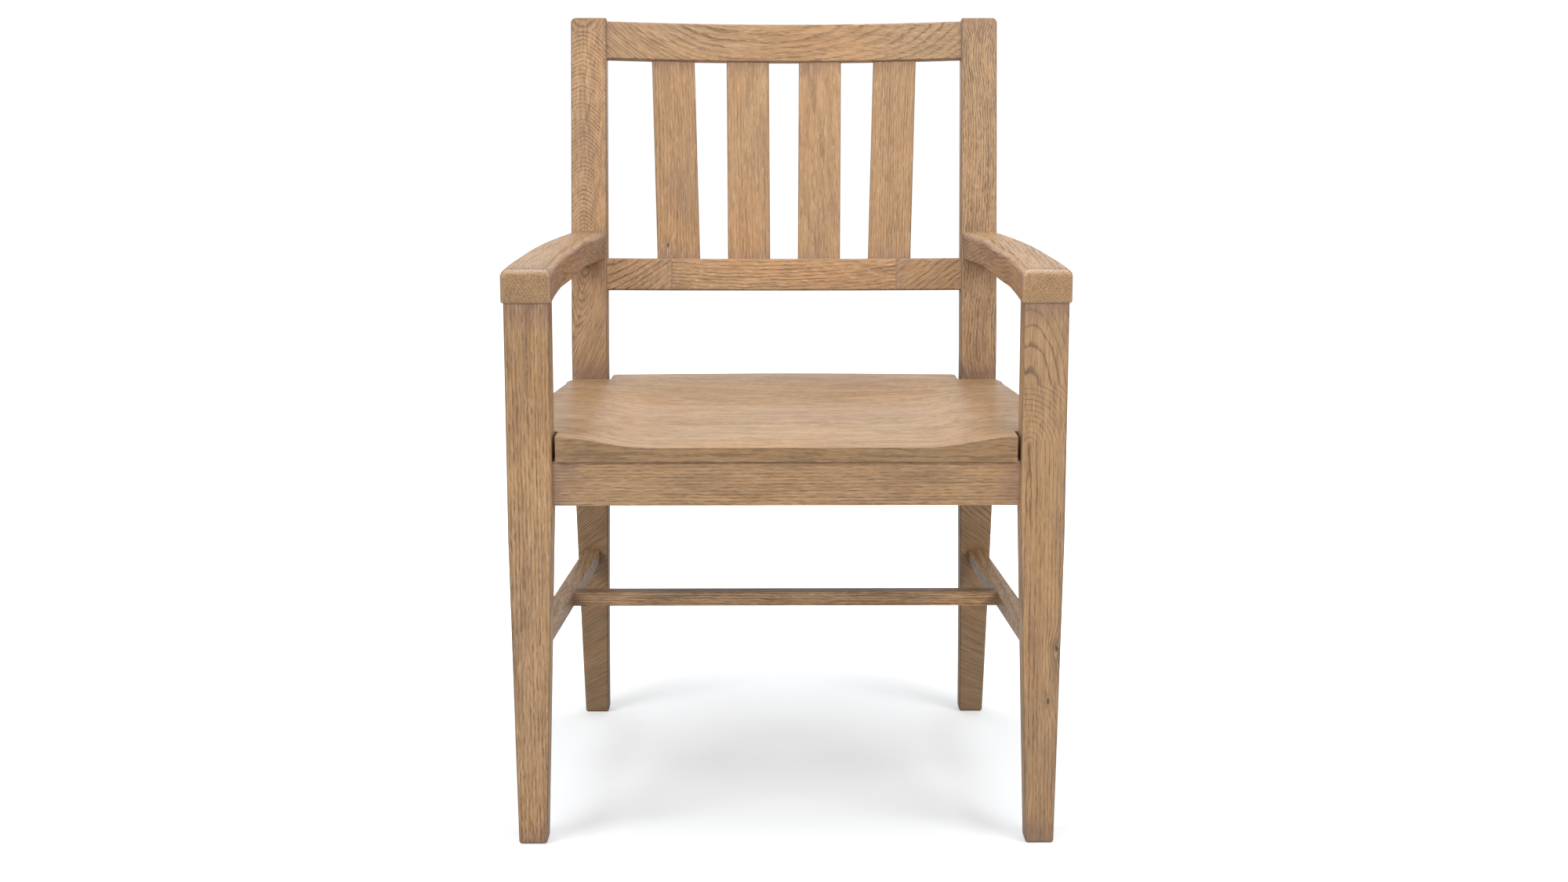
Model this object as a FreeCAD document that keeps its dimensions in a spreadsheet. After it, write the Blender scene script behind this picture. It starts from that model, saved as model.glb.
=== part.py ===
"""Wooden dining armchair with a slatted back, a dished solid seat and an H stretcher.

Frame of the part: +Z up, +X to the chair's own right-hand arm as seen from the front,
+Y to the back, origin on the floor under the middle of the chair. Lengths are millimetres.

Depths in the sheet are measured backwards from the plane of the front legs' front faces,
and the piece's Placement then moves it so that the origin is in the middle of the chair.
The right-hand pieces are modelled, and the left-hand ones are their mirror images.
"""
import FreeCAD, Part
import math
import os

import Sketcher
from FreeCAD import Placement, Rotation, Vector

DOC = FreeCAD.newDocument("armchair")
SHEET = DOC.addObject("Spreadsheet::Sheet", "dims")

# Driving dimensions. Half spacings are distances from the chair's middle plane.
DIMENSIONS = {
    "front_to_centre": 264.7,
    # seat
    "seat_top": 463,
    "seat_underside": 435,
    "seat_depth": 478,
    "seat_tongue_crown": 6,
    "seat_half_front": 302,
    "seat_half_rear": 280,
    "seat_half_tongue": 222,
    "seat_gap": 3.8,
    "seat_front_corner": 3,
    "seat_half_hip": 282,
    "seat_hip_inset": 40,
    "seat_side_bow": 4,
    "seat_rear_corner": 6,
    "seat_tongue_side": 14,
    "seat_tongue_corner_bow": 2,
    "seat_tongue_rear_bow": 1.2,
    "seat_dish": 12.5,
    "board_depth": 123,
    "zone_margin": 20,
    # front legs
    "leg_outer": 304.3,
    "leg_width": 49.3,
    "leg_depth": 30,
    "leg_height": 608,
    "leg_taper_top": 345,
    "leg_rear_taper_top": 300,
    "leg_foot_outer": 299,
    "leg_foot_width": 31.5,
    "leg_foot_depth": 26,
    # rear posts
    "post_outer": 279,
    "post_width": 46.5,
    "post_height": 933,
    "post_front": 433,
    "post_bend_low": 380,
    "post_bend_start": 480,
    "post_bend_end": 545,
    "post_bend_shift": 4,
    "post_foot_back": 24,
    "post_foot_outer": 270,
    "post_foot_width": 31,
    "post_depth_foot": 26,
    "post_depth_seat": 33,
    "post_depth_top": 25,
    "back_rake": 7.05,
    # aprons
    "apron_bottom": 386,
    "apron_thickness": 20,
    "apron_recess": 3.5,
    "side_apron_front": 298,
    "side_apron_rear": 273,
    "rear_apron_recess": 5,
    # arms
    "arm_front_overhang": 2.5,
    "arm_thickness": 37,
    "arm_rise": 11,
    "arm_outer_front": 307,
    "arm_inner_front": 252,
    "arm_outer_rear": 278,
    "arm_inner_rear": 233.5,
    "arm_inner_waist": 257.5,
    "arm_outer_waist": 306,
    "arm_inner_hip": 252.5,
    "arm_hip_back": 350.7,
    "arm_outer_front_bow": 1.5,
    "arm_outer_rear_bow": 7,
    "arm_inner_bow": 1.5,
    "arm_inner_front_bow": 1,
    "arm_run_in": 20,
    "arm_top_round": 8.5,
    "arm_corner_round": 5.5,
    "arm_dowel_spread": 11,
    "arm_dowel_setback": 10,
    # bowed back rails and slats
    "rail_bow": 26,
    "rail_thickness": 18,
    "rail_recess": 4,
    "crest_bottom": 880,
    "crest_height": 49.5,
    "lower_rail_bottom": 579.5,
    "lower_rail_height": 42,
    "lower_rail_middle_half": 149,
    "slat_width": 56,
    "slat_thickness": 11,
    "slat_stub": 8,
    "slat_round": 1.5,
    "inner_slat_low": 46.5,
    "inner_slat_high": 48,
    "outer_slat_low": 139.5,
    "outer_slat_high": 146.5,
    # stretchers
    "stretcher_top": 231,
    "stretcher_height": 17,
    "stretcher_width": 21,
    "side_stretcher_front": 279.5,
    "side_stretcher_rear": 255.5,
    "cross_stretcher_back": 220,
    "cross_stretcher_width": 19,
    # joints
    "tenon_length": 22,
    "tenon_root": 10,
    "rail_tenon_thickness": 9,
    "rail_tenon_shoulder": 7,
    "stretcher_tenon": 9,
    "cross_tenon_length": 20,
    "dowel_radius": 4,
    "dowel_half_length": 18,
    # corner blocks and screws
    "block_height": 30,
    "block_reach": 88,
    "block_short_reach": 70,
    "block_inset": 5,
    "screw_head_radius": 4.2,
    "screw_shank_radius": 2,
    "screw_point": 5,
    "corner_screw_length": 38,
    "corner_screw_bite": 14,
    "corner_screw_inset": 45,
    "corner_bore_length": 40,
    "seat_screw_length": 42,
    "seat_screw_depth": 3,
    "seat_bore_length": 10,
    "front_seat_screw_across": 18,
    "front_seat_screw_back": 22,
    "rear_seat_screw_across": 14,
    "rear_seat_screw_front": 24,
    # rounded edges
    "edge_round": 2.5,
    "foot_round": 4,
    "post_top_round": 7,
}


# Slack when edges are picked by their place, the length taken as nothing, and how closely an
# upright edge and a raked one follow their axis.
SLACK = 1.0
NOTHING = 1e-6
STRAIGHT = 0.9
RAKED = 0.6


class Size:
    """A length that knows both its number and the sheet expression it comes from."""

    def __init__(self, number, text):
        self.number = number
        self.text = text

    def _join(self, other, sign, number):
        return Size(number, "(" + self.text + " " + sign + " " + as_size(other).text + ")")

    def __add__(self, other):
        return self._join(other, "+", self.number + as_size(other).number)

    def __sub__(self, other):
        return self._join(other, "-", self.number - as_size(other).number)

    def __mul__(self, other):
        return self._join(other, "*", self.number * as_size(other).number)

    def __truediv__(self, other):
        return self._join(other, "/", self.number / as_size(other).number)

    def __neg__(self):
        return as_size(0) - self


def as_size(value):
    """A plain number as a Size, and a Size as itself."""
    return value if isinstance(value, Size) else Size(float(value), repr(float(value)))


def tangent_of(angle):
    return Size(math.tan(math.radians(angle.number)), "tan(" + angle.text + " * 1 deg)")


def cosine_of(angle):
    return Size(math.cos(math.radians(angle.number)), "cos(" + angle.text + " * 1 deg)")


def sine_of(angle):
    return Size(math.sin(math.radians(angle.number)), "sin(" + angle.text + " * 1 deg)")


def fill_sheet():
    """Write each driving dimension to a cell of its own, with its name as the alias."""
    for row, (alias, value) in enumerate(DIMENSIONS.items(), start=1):
        SHEET.set("A%d" % row, alias)
        SHEET.set("B%d" % row, str(value))
        SHEET.setAlias("B%d" % row, alias)
    DOC.recompute()


class Dims:
    """dims.leg_width is the Size of the cell with that alias."""

    def __getattr__(self, alias):
        return Size(float(SHEET.get(alias)), "dims." + alias)


dims = Dims()


# ---------------------------------------------------------------------------
# helpers: placing, bodies, sketches and features
# ---------------------------------------------------------------------------

def place(item, across=0, back=0, up=0, turn=None):
    """Put an object at a point of the chair, bound to the sheet; turn is (axis, angle)."""
    if turn is not None:
        axis, angle = turn
        item.Placement = Placement(Vector(), Rotation(axis, as_size(angle).number))
        if isinstance(angle, Size):
            item.setExpression("Placement.Rotation.Angle", angle.text + " * 1 deg")
    item.setExpression("Placement.Base.x", as_size(across).text)
    item.setExpression("Placement.Base.y", (as_size(back) - dims.front_to_centre).text)
    item.setExpression("Placement.Base.z", as_size(up).text)
    return item


def new_body(name):
    return DOC.addObject("PartDesign::Body", name)


def origin_plane(body, role):
    for feature in body.Origin.OriginFeatures:
        if feature.Role == role:
            return feature
    raise ValueError("no origin plane " + role)


def pin_point(sketch, geometry, end, across, up):
    """Fix one end of a line or arc at the given distances from the sketch's axes."""
    for kind, axis, value in (("DistanceX", -2, across), ("DistanceY", -1, up)):
        if abs(value.number) < NOTHING:
            sketch.addConstraint(Sketcher.Constraint("PointOnObject", geometry, end, axis))
            continue
        rule = Sketcher.Constraint(kind, -1, 1, geometry, end, value.number)
        index = sketch.addConstraint(rule)
        sketch.setExpression("Constraints[%d]" % index, value.text)


def arc_radius(start, end, bulge):
    """Radius of the arc over a chord whose middle stands off by bulge."""
    width = end[0] - start[0]
    rise = end[1] - start[1]
    return (width * width + rise * rise) / (bulge * 8) + bulge / 2


def outline(body, name, role, points, bulges=None, lift=0, across=0):
    """Closed sketch through the points, anticlockwise; bulges maps a side to its arc's height.

    A positive bulge is convex and a negative one is hollow. lift is the sketch's offset along
    its plane's normal, and across is where the sketch's own origin lies along its first axis.
    """
    sketch = body.newObject("Sketcher::SketchObject", name)
    sketch.AttachmentSupport = (origin_plane(body, role), [""])
    sketch.MapMode = "FlatFace"
    sketch.setExpression("AttachmentOffset.Base.x", as_size(across).text)
    sketch.setExpression("AttachmentOffset.Base.z", as_size(lift).text)
    bulges = bulges or {}
    points = [(as_size(first), as_size(second)) for first, second in points]
    ends = []
    for side, start in enumerate(points):
        end = points[(side + 1) % len(points)]
        ends.append(add_side(sketch, start, end, bulges.get(side)))
    for side, start in enumerate(points):
        geometry, first, _ = ends[side]
        before, _, last = ends[side - 1]
        sketch.addConstraint(Sketcher.Constraint("Coincident", before, last, geometry, first))
        pin_point(sketch, geometry, first, start[0], start[1])
    return sketch


def add_side(sketch, start, end, bulge):
    """Add a line, or an arc of the given bulge; return its index and its two end numbers."""
    first = Vector(start[0].number, start[1].number, 0)
    last = Vector(end[0].number, end[1].number, 0)
    if bulge is None:
        return sketch.addGeometry(Part.LineSegment(first, last), False), 1, 2
    bulge = as_size(bulge)
    along = last - first
    outward = Vector(along.y, -along.x, 0).normalize()
    middle = (first + last) * 0.5 + outward * bulge.number
    index = sketch.addGeometry(Part.Arc(first, middle, last), False)
    convex = bulge.number > 0
    radius = arc_radius(start, end, bulge if convex else -bulge)
    rule = sketch.addConstraint(Sketcher.Constraint("Radius", index, radius.number))
    sketch.setExpression("Constraints[%d]" % rule, radius.text)
    return (index, 1, 2) if convex else (index, 2, 1)


def pad(body, sketch, length, reverse=False):
    feature = body.newObject("PartDesign::Pad", sketch.Name + "_pad")
    feature.Profile = sketch
    feature.Reversed = reverse
    feature.setExpression("Length", as_size(length).text)
    body.Tip = feature
    return feature


def pocket_through(body, sketch):
    """Cut the sketch's outline out of the whole body, both ways from its plane."""
    DOC.recompute()
    before = body.Shape.Volume
    feature = body.newObject("PartDesign::Pocket", sketch.Name + "_cut")
    feature.Profile = sketch
    feature.Type = "ThroughAll"
    feature.Midplane = True
    body.Tip = feature
    DOC.recompute()
    if not body.Shape.Volume < before:
        raise ValueError(sketch.Name + " cuts nothing")
    return feature


def round_edges(body, radius, chosen):
    """Round the edges of the body's last feature that the test picks out."""
    DOC.recompute()
    base = body.Tip
    names = ["Edge%d" % (i + 1) for i, edge in enumerate(base.Shape.Edges) if chosen(edge)]
    feature = body.newObject("PartDesign::Fillet", base.Name + "_round")
    feature.Base = (base, names)
    feature.setExpression("Radius", as_size(radius).text)
    body.Tip = feature
    DOC.recompute()
    return feature


def runs_along(edge, axis, least=STRAIGHT):
    """True where the edge's two ends lie mostly along the axis."""
    if len(edge.Vertexes) < 2:
        return False
    direction = edge.Vertexes[-1].Point - edge.Vertexes[0].Point
    return direction.Length > NOTHING and abs(direction.normalize().dot(axis)) > least


ACROSS, BACK, UP = Vector(1, 0, 0), Vector(0, 1, 0), Vector(0, 0, 1)


def box(name, across, back, up, width, depth, height):
    """Part box with its low corner at the given point of the chair."""
    item = DOC.addObject("Part::Box", name)
    for side, value in (("Length", width), ("Width", depth), ("Height", height)):
        item.setExpression(side, as_size(value).text)
    return place(item, across, back, up)


CYLINDER_TURN = {"across": (BACK, 90), "back": (ACROSS, -90), "up": (UP, 0)}


def cylinder(name, radius, length, way, across, back, up):
    """Part cylinder that starts at the given point and runs across, back or up."""
    item = DOC.addObject("Part::Cylinder", name)
    item.setExpression("Radius", as_size(radius).text)
    item.setExpression("Height", as_size(length).text)
    return place(item, across, back, up, turn=CYLINDER_TURN[way])


def joined(name, pieces):
    """One solid from overlapping or touching solids."""
    item = DOC.addObject("Part::MultiFuse", name)
    item.Shapes = pieces
    item.Refine = True
    return item


def group(name, pieces):
    """Separate solids kept together as one object."""
    item = DOC.addObject("Part::Compound", name)
    item.Links = pieces
    return item


def cut(name, blank, tools):
    """The blank less every tool."""
    item = DOC.addObject("Part::Cut", name)
    item.Base = blank
    item.Tool = tools[0] if len(tools) == 1 else group(name + "_tools", tools)
    return item


def kept_inside(name, blank, limits):
    item = DOC.addObject("Part::Common", name)
    item.Base = blank
    item.Tool = limits
    return item


def mirrored(name, source):
    """Mirror image of the source in the chair's middle plane."""
    item = DOC.addObject("Part::Mirroring", name)
    item.Source = source
    item.Normal = ACROSS
    item.Base = Vector()
    return item


def both_sides(name, source):
    return group(name, [source, mirrored(name + "_mirrored", source)])


NODES = []


def node(item, label):
    """Mark an object as a finished sub-part."""
    item.Label = label
    NODES.append(item)
    return item


def node_pair(item, what):
    """Finish a right-hand piece and its left-hand mirror image."""
    node(item, "right_" + what)
    node(mirrored("mirror_of_" + item.Name, item), "left_" + what)


# ---------------------------------------------------------------------------
# front legs and rear posts
# ---------------------------------------------------------------------------

fill_sheet()

leg_inner = dims.leg_outer - dims.leg_width
leg_foot_inner = dims.leg_foot_outer - dims.leg_foot_width
post_inner = dims.post_outer - dims.post_width
post_foot_inner = dims.post_foot_outer - dims.post_foot_width
seat_thickness = dims.seat_top - dims.seat_underside
apron_height = dims.seat_underside - dims.apron_bottom
straight_rise = dims.post_height - dims.post_bend_end
post_bend_front = dims.post_front + dims.post_bend_shift
post_top_front = post_bend_front + straight_rise * tangent_of(dims.back_rake)


def front_leg_blank():
    """Right front leg: plain above the apron, tapered on three faces below it."""
    body = place(new_body("front_leg_blank"))
    front_view = [
        (leg_foot_inner, 0), (dims.leg_foot_outer, 0), (dims.leg_outer, dims.leg_taper_top),
        (dims.leg_outer, dims.leg_height), (leg_inner, dims.leg_height), (leg_inner, dims.apron_bottom),
    ]
    sketch = outline(body, "front_leg_view", "XZ_Plane", front_view)
    pad(body, sketch, dims.leg_depth, reverse=True)
    rear_wedge = [
        (dims.leg_foot_depth, 0), (dims.leg_depth * 2, 0),
        (dims.leg_depth * 2, dims.leg_rear_taper_top), (dims.leg_depth, dims.leg_rear_taper_top),
    ]
    pocket_through(body, outline(body, "front_leg_rear_taper", "YZ_Plane", rear_wedge))
    round_edges(body, dims.edge_round, lambda edge: runs_along(edge, UP))
    round_edges(body, dims.foot_round, is_foot_edge)
    return body


def is_foot_edge(edge):
    """True on the edges round the bottom of a leg."""
    return edge.BoundBox.ZMax < SLACK


def rear_post_blank():
    """Right rear post: raked foot, upright at the seat, and a straight raked back above it."""
    body = place(new_body("rear_post_blank"))
    slope_across = cosine_of(dims.back_rake)
    slope_down = sine_of(dims.back_rake)
    side_view = [
        (dims.post_front + dims.post_foot_back, 0),
        (dims.post_front + dims.post_foot_back + dims.post_depth_foot, 0),
        (dims.post_front + dims.post_depth_seat, dims.post_bend_low),
        (dims.post_front + dims.post_depth_seat, dims.post_bend_start),
        (post_bend_front + dims.post_depth_seat, dims.post_bend_end),
        (post_top_front + dims.post_depth_top * slope_across,
         dims.post_height - dims.post_depth_top * slope_down),
        (post_top_front, dims.post_height),
        (post_bend_front, dims.post_bend_end),
        (dims.post_front, dims.post_bend_start),
        (dims.post_front, dims.post_bend_low),
    ]
    foot_bow = dims.post_foot_back / 4
    bend_bow = dims.post_bend_shift / 4
    bulges = {1: -foot_bow, 3: -bend_bow, 7: bend_bow, 9: foot_bow}
    sketch = outline(body, "rear_post_view", "YZ_Plane", side_view, bulges, lift=post_inner)
    pad(body, sketch, dims.post_width)
    outer_wedge = [
        (dims.post_foot_outer, 0), (dims.post_outer * 2, 0),
        (dims.post_outer * 2, dims.apron_bottom), (dims.post_outer, dims.apron_bottom),
    ]
    inner_wedge = [
        (post_inner / 2, 0), (post_foot_inner, 0),
        (post_inner, dims.apron_bottom), (post_inner / 2, dims.apron_bottom),
    ]
    pocket_through(body, outline(body, "rear_post_outer_taper", "XZ_Plane", outer_wedge))
    pocket_through(body, outline(body, "rear_post_inner_taper", "XZ_Plane", inner_wedge))
    round_edges(body, dims.foot_round, is_foot_edge)
    round_edges(body, dims.post_top_round, is_outer_top_edge)
    round_edges(body, dims.edge_round, lambda edge: runs_along(edge, UP, RAKED) or is_top_edge(edge))
    return body


def is_top_edge(edge):
    """True on the short edges at the top of a post that run from front to back."""
    high = edge.BoundBox.ZMin > dims.post_height.number - dims.post_depth_top.number
    return high and runs_along(edge, BACK)


def is_outer_top_edge(edge):
    return is_top_edge(edge) and edge.CenterOfMass.x > dims.post_outer.number - SLACK


leg_blank = front_leg_blank()
post_blank = rear_post_blank()


# ---------------------------------------------------------------------------
# aprons
# ---------------------------------------------------------------------------

def front_apron_blank():
    return box("front_apron_blank", -leg_inner, dims.apron_recess, dims.apron_bottom,
               leg_inner * 2, dims.apron_thickness, apron_height)


rear_apron_front = dims.post_front + dims.rear_apron_recess


def rear_apron_blank():
    return box("rear_apron_blank", -post_inner, rear_apron_front, dims.apron_bottom,
               post_inner * 2, dims.apron_thickness, apron_height)


def side_apron_blank():
    """Right side apron: a straight board that follows the narrowing of the seat."""
    body = place(new_body("side_apron_blank"), up=dims.apron_bottom)
    plan = [
        (dims.side_apron_front - dims.apron_thickness, dims.leg_depth),
        (dims.side_apron_front, dims.leg_depth),
        (dims.side_apron_rear, dims.post_front),
        (dims.side_apron_rear - dims.apron_thickness, dims.post_front),
    ]
    pad(body, outline(body, "side_apron_plan", "XY_Plane", plan), apron_height)
    return body


def dowel_pair(name, way, across, back):
    """Two dowels, one above the other, half in the apron and half in the leg or post."""
    length = dims.dowel_half_length * 2
    heights = (dims.apron_bottom + apron_height / 4, dims.seat_underside - apron_height / 4)
    dowels = [cylinder(name + "_%d" % number, dims.dowel_radius, length, way, across, back, height)
              for number, height in enumerate(heights, start=1)]
    return group(name, dowels)


front_apron = front_apron_blank()
rear_apron = rear_apron_blank()
side_apron = side_apron_blank()

front_dowels = dowel_pair("front_dowels", "across", leg_inner - dims.dowel_half_length,
                          dims.apron_recess + dims.apron_thickness / 2)
rear_dowels = dowel_pair("rear_dowels", "across", post_inner - dims.dowel_half_length,
                         rear_apron_front + dims.apron_thickness / 2)
side_front_dowels = dowel_pair("side_front_dowels", "back",
                               dims.side_apron_front - dims.apron_thickness / 2,
                               dims.leg_depth - dims.dowel_half_length)
side_rear_dowels = dowel_pair("side_rear_dowels", "back",
                              dims.side_apron_rear - dims.apron_thickness / 2,
                              dims.post_front - dims.dowel_half_length)


# ---------------------------------------------------------------------------
# stretchers
# ---------------------------------------------------------------------------

stretcher_bottom = dims.stretcher_top - dims.stretcher_height
half_stretcher = dims.stretcher_width / 2
tenon_up = stretcher_bottom + (dims.stretcher_height - dims.stretcher_tenon) / 2


def side_stretcher_blank():
    """Right side stretcher, run into both legs so that its shoulders can be fitted to them."""
    body = place(new_body("side_stretcher_blank"), up=stretcher_bottom)
    rear = dims.post_front + dims.post_foot_back
    front = dims.leg_depth / 2
    plan = [
        (dims.side_stretcher_front - half_stretcher, front),
        (dims.side_stretcher_front + half_stretcher, front),
        (dims.side_stretcher_rear + half_stretcher, rear),
        (dims.side_stretcher_rear - half_stretcher, rear),
    ]
    pad(body, outline(body, "side_stretcher_plan", "XY_Plane", plan), dims.stretcher_height)
    return body


def stretcher_front_tenon():
    return box("stretcher_front_tenon", dims.side_stretcher_front - dims.stretcher_tenon / 2,
               dims.leg_depth / 3, tenon_up, dims.stretcher_tenon, dims.leg_depth, dims.stretcher_tenon)


def stretcher_rear_tenon():
    return box("stretcher_rear_tenon", dims.side_stretcher_rear - dims.stretcher_tenon / 2,
               dims.post_front - dims.edge_round, tenon_up,
               dims.stretcher_tenon, dims.post_depth_seat, dims.stretcher_tenon)


def cross_stretcher_blank():
    """Cross stretcher, run into both side stretchers; the side faces there lean inwards."""
    return box("cross_stretcher_blank", -dims.side_stretcher_front, dims.cross_stretcher_back,
               stretcher_bottom, dims.side_stretcher_front * 2, dims.cross_stretcher_width,
               dims.stretcher_height)


def cross_stretcher_tenon():
    reach = dims.side_stretcher_front - dims.stretcher_width
    return box("cross_stretcher_tenon", reach - dims.stretcher_tenon,
               dims.cross_stretcher_back + (dims.cross_stretcher_width - dims.stretcher_tenon) / 2,
               tenon_up, dims.cross_tenon_length, dims.stretcher_tenon, dims.stretcher_tenon)


side_stretcher = side_stretcher_blank()
front_tenon = stretcher_front_tenon()
rear_tenon = stretcher_rear_tenon()
cross_blank = cross_stretcher_blank()
cross_tenon = cross_stretcher_tenon()

side_stretcher_shouldered = cut("side_stretcher_shouldered", side_stretcher, [leg_blank, post_blank])
side_stretcher_tenoned = joined("side_stretcher_tenoned",
                                [side_stretcher_shouldered, front_tenon, rear_tenon])
node_pair(cut("side_stretcher", side_stretcher_tenoned, [cross_tenon]), "side_stretcher")


def middle_of_cross_stretcher():
    """The stretch of the cross stretcher between the two side stretchers' inner faces."""
    body = place(new_body("between_side_stretchers"), up=stretcher_bottom)
    narrowing = dims.side_stretcher_front - dims.side_stretcher_rear
    length = dims.post_front + dims.post_foot_back - dims.leg_depth / 2
    front_share = (dims.cross_stretcher_back - dims.leg_depth / 2) / length
    back = dims.cross_stretcher_back + dims.cross_stretcher_width
    back_share = (back - dims.leg_depth / 2) / length
    reach = dims.side_stretcher_front - half_stretcher
    front_half = reach - narrowing * front_share
    back_half = reach - narrowing * back_share
    plan = [
        (reach - front_half, dims.cross_stretcher_back), (reach + front_half, dims.cross_stretcher_back),
        (reach + back_half, back), (reach - back_half, back),
    ]
    sketch = outline(body, "cross_stretcher_plan", "XY_Plane", plan, across=-reach)
    pad(body, sketch, dims.stretcher_height)
    return body


cross_middle = kept_inside("cross_middle", cross_blank, middle_of_cross_stretcher())
cross_tenons = both_sides("cross_tenons", cross_tenon)
node(joined("cross_stretcher", [cross_middle, cross_tenon, cross_tenons.Links[1]]), "cross_stretcher")


# ---------------------------------------------------------------------------
# arms
# ---------------------------------------------------------------------------

arm_length = dims.post_front + dims.arm_front_overhang + dims.arm_run_in


def arm_blank():
    """Right arm: curved in plan, rising to the back, run past the post's front face."""
    body = place(new_body("arm_blank"), back=-dims.arm_front_overhang, up=dims.leg_height)
    third = arm_length / 3
    plan = [
        (dims.arm_inner_front, 0), (dims.arm_outer_front, 0),
        (dims.arm_outer_waist, third),
        (dims.arm_outer_rear, arm_length), (dims.arm_inner_rear, arm_length),
        (dims.arm_inner_hip, dims.arm_hip_back),
        (dims.arm_inner_waist, third),
    ]
    bulges = {
        1: dims.arm_outer_front_bow, 2: dims.arm_outer_rear_bow,
        4: -dims.arm_inner_bow, 5: dims.arm_inner_bow, 6: -dims.arm_inner_front_bow,
    }
    sketch = outline(body, "arm_plan", "XY_Plane", plan, bulges)
    pad(body, sketch, dims.arm_thickness + dims.arm_rise * 2)
    above = [
        (0, dims.arm_thickness), (arm_length, dims.arm_thickness + dims.arm_rise),
        (arm_length, dims.arm_thickness * 2), (0, dims.arm_thickness * 2),
    ]
    below = [(dims.leg_depth + dims.arm_front_overhang, 0), (arm_length, 0), (arm_length, dims.arm_rise)]
    pocket_through(body, outline(body, "arm_top_line", "YZ_Plane", above))
    pocket_through(body, outline(body, "arm_bottom_line", "YZ_Plane", below))
    round_edges(body, dims.arm_corner_round, is_arm_front_corner)
    round_edges(body, dims.arm_top_round, is_arm_top_edge)
    round_edges(body, dims.edge_round, is_arm_bottom_edge)
    return body


def is_arm_front_corner(edge):
    return runs_along(edge, UP) and edge.CenterOfMass.y < SLACK


def is_arm_top_edge(edge):
    """True on the edges of the arm's top face, apart from the one inside the post."""
    high = edge.BoundBox.ZMin > dims.arm_thickness.number - SLACK
    return high and edge.CenterOfMass.y < arm_length.number - SLACK


def is_arm_bottom_edge(edge):
    low = edge.BoundBox.ZMax < dims.arm_rise.number + SLACK
    return low and not runs_along(edge, ACROSS) and edge.CenterOfMass.y < arm_length.number - SLACK


arm = arm_blank()

arm_middle = (dims.arm_outer_rear + dims.arm_inner_rear) / 2
leg_middle = dims.leg_outer - dims.leg_width / 2
arm_rear_up = dims.leg_height + dims.arm_rise + dims.arm_thickness / 2
arm_rear_dowels = group("arm_rear_dowels", [
    cylinder("arm_rear_dowel_%d" % number, dims.dowel_radius, dims.dowel_half_length * 2, "back",
             arm_middle + offset, post_bend_front - dims.arm_dowel_setback, arm_rear_up)
    for number, offset in enumerate((-dims.arm_dowel_spread, dims.arm_dowel_spread), start=1)])
arm_front_dowels = group("arm_front_dowels", [
    cylinder("arm_front_dowel_%d" % number, dims.dowel_radius, dims.dowel_half_length * 2, "up",
             leg_middle + offset, dims.leg_depth / 2, dims.leg_height - dims.dowel_half_length)
    for number, offset in enumerate((-dims.arm_dowel_spread, dims.arm_dowel_spread), start=1)])

arm_shouldered = cut("arm_shouldered", arm, [post_blank])
node_pair(cut("arm", arm_shouldered, [arm_rear_dowels, arm_front_dowels]), "arm")
node(both_sides("arm_dowels", group("arm_dowels_right", [arm_rear_dowels, arm_front_dowels])), "arm_dowels")


# ---------------------------------------------------------------------------
# back: two bowed rails, four slats
# ---------------------------------------------------------------------------

LEAN_BACK = (Vector(-1, 0, 0), dims.back_rake)


def post_front_at(height):
    """Depth of the posts' straight, raked front face at a height above the bend."""
    return post_bend_front + (height - dims.post_bend_end) * tangent_of(dims.back_rake)


def bowed_rail_blank(name, bottom, height):
    """Rail bowed backwards between the posts, square to their raked front faces."""
    body = place(new_body(name), back=post_front_at(bottom), up=bottom, turn=LEAN_BACK)
    length = post_inner * 2
    front = dims.rail_recess
    back = dims.rail_recess + dims.rail_thickness
    plan = [(0, front), (length, front), (length, back), (0, back)]
    bulges = {0: -dims.rail_bow, 2: dims.rail_bow}
    sketch = outline(body, name + "_plan", "XY_Plane", plan, bulges, across=-post_inner)
    pad(body, sketch, height)
    round_edges(body, dims.edge_round, lambda edge: runs_along(edge, ACROSS))
    return body


def rail_tenon(name, bottom, height):
    """Tenon at the rail's right-hand end, with a shoulder above and below it."""
    shoulder = dims.rail_tenon_shoulder
    item = DOC.addObject("Part::Box", name)
    length = dims.tenon_length + dims.tenon_root
    for side, value in (("Length", length), ("Width", dims.rail_tenon_thickness),
                        ("Height", height - shoulder * 2)):
        item.setExpression(side, as_size(value).text)
    inset = dims.rail_recess + (dims.rail_thickness - dims.rail_tenon_thickness) / 2
    lean_shift = inset * cosine_of(dims.back_rake) + tangent_of(dims.back_rake) * shoulder
    place(item, post_inner - dims.tenon_root, post_front_at(bottom) + lean_shift,
          bottom + shoulder - inset * sine_of(dims.back_rake), turn=LEAN_BACK)
    return item


crest_blank = bowed_rail_blank("crest_rail_blank", dims.crest_bottom, dims.crest_height)
lower_blank = bowed_rail_blank("lower_rail_blank", dims.lower_rail_bottom, dims.lower_rail_height)
crest_tenon = rail_tenon("crest_tenon", dims.crest_bottom, dims.crest_height)
lower_tenon = rail_tenon("lower_tenon", dims.lower_rail_bottom, dims.lower_rail_height)


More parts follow.
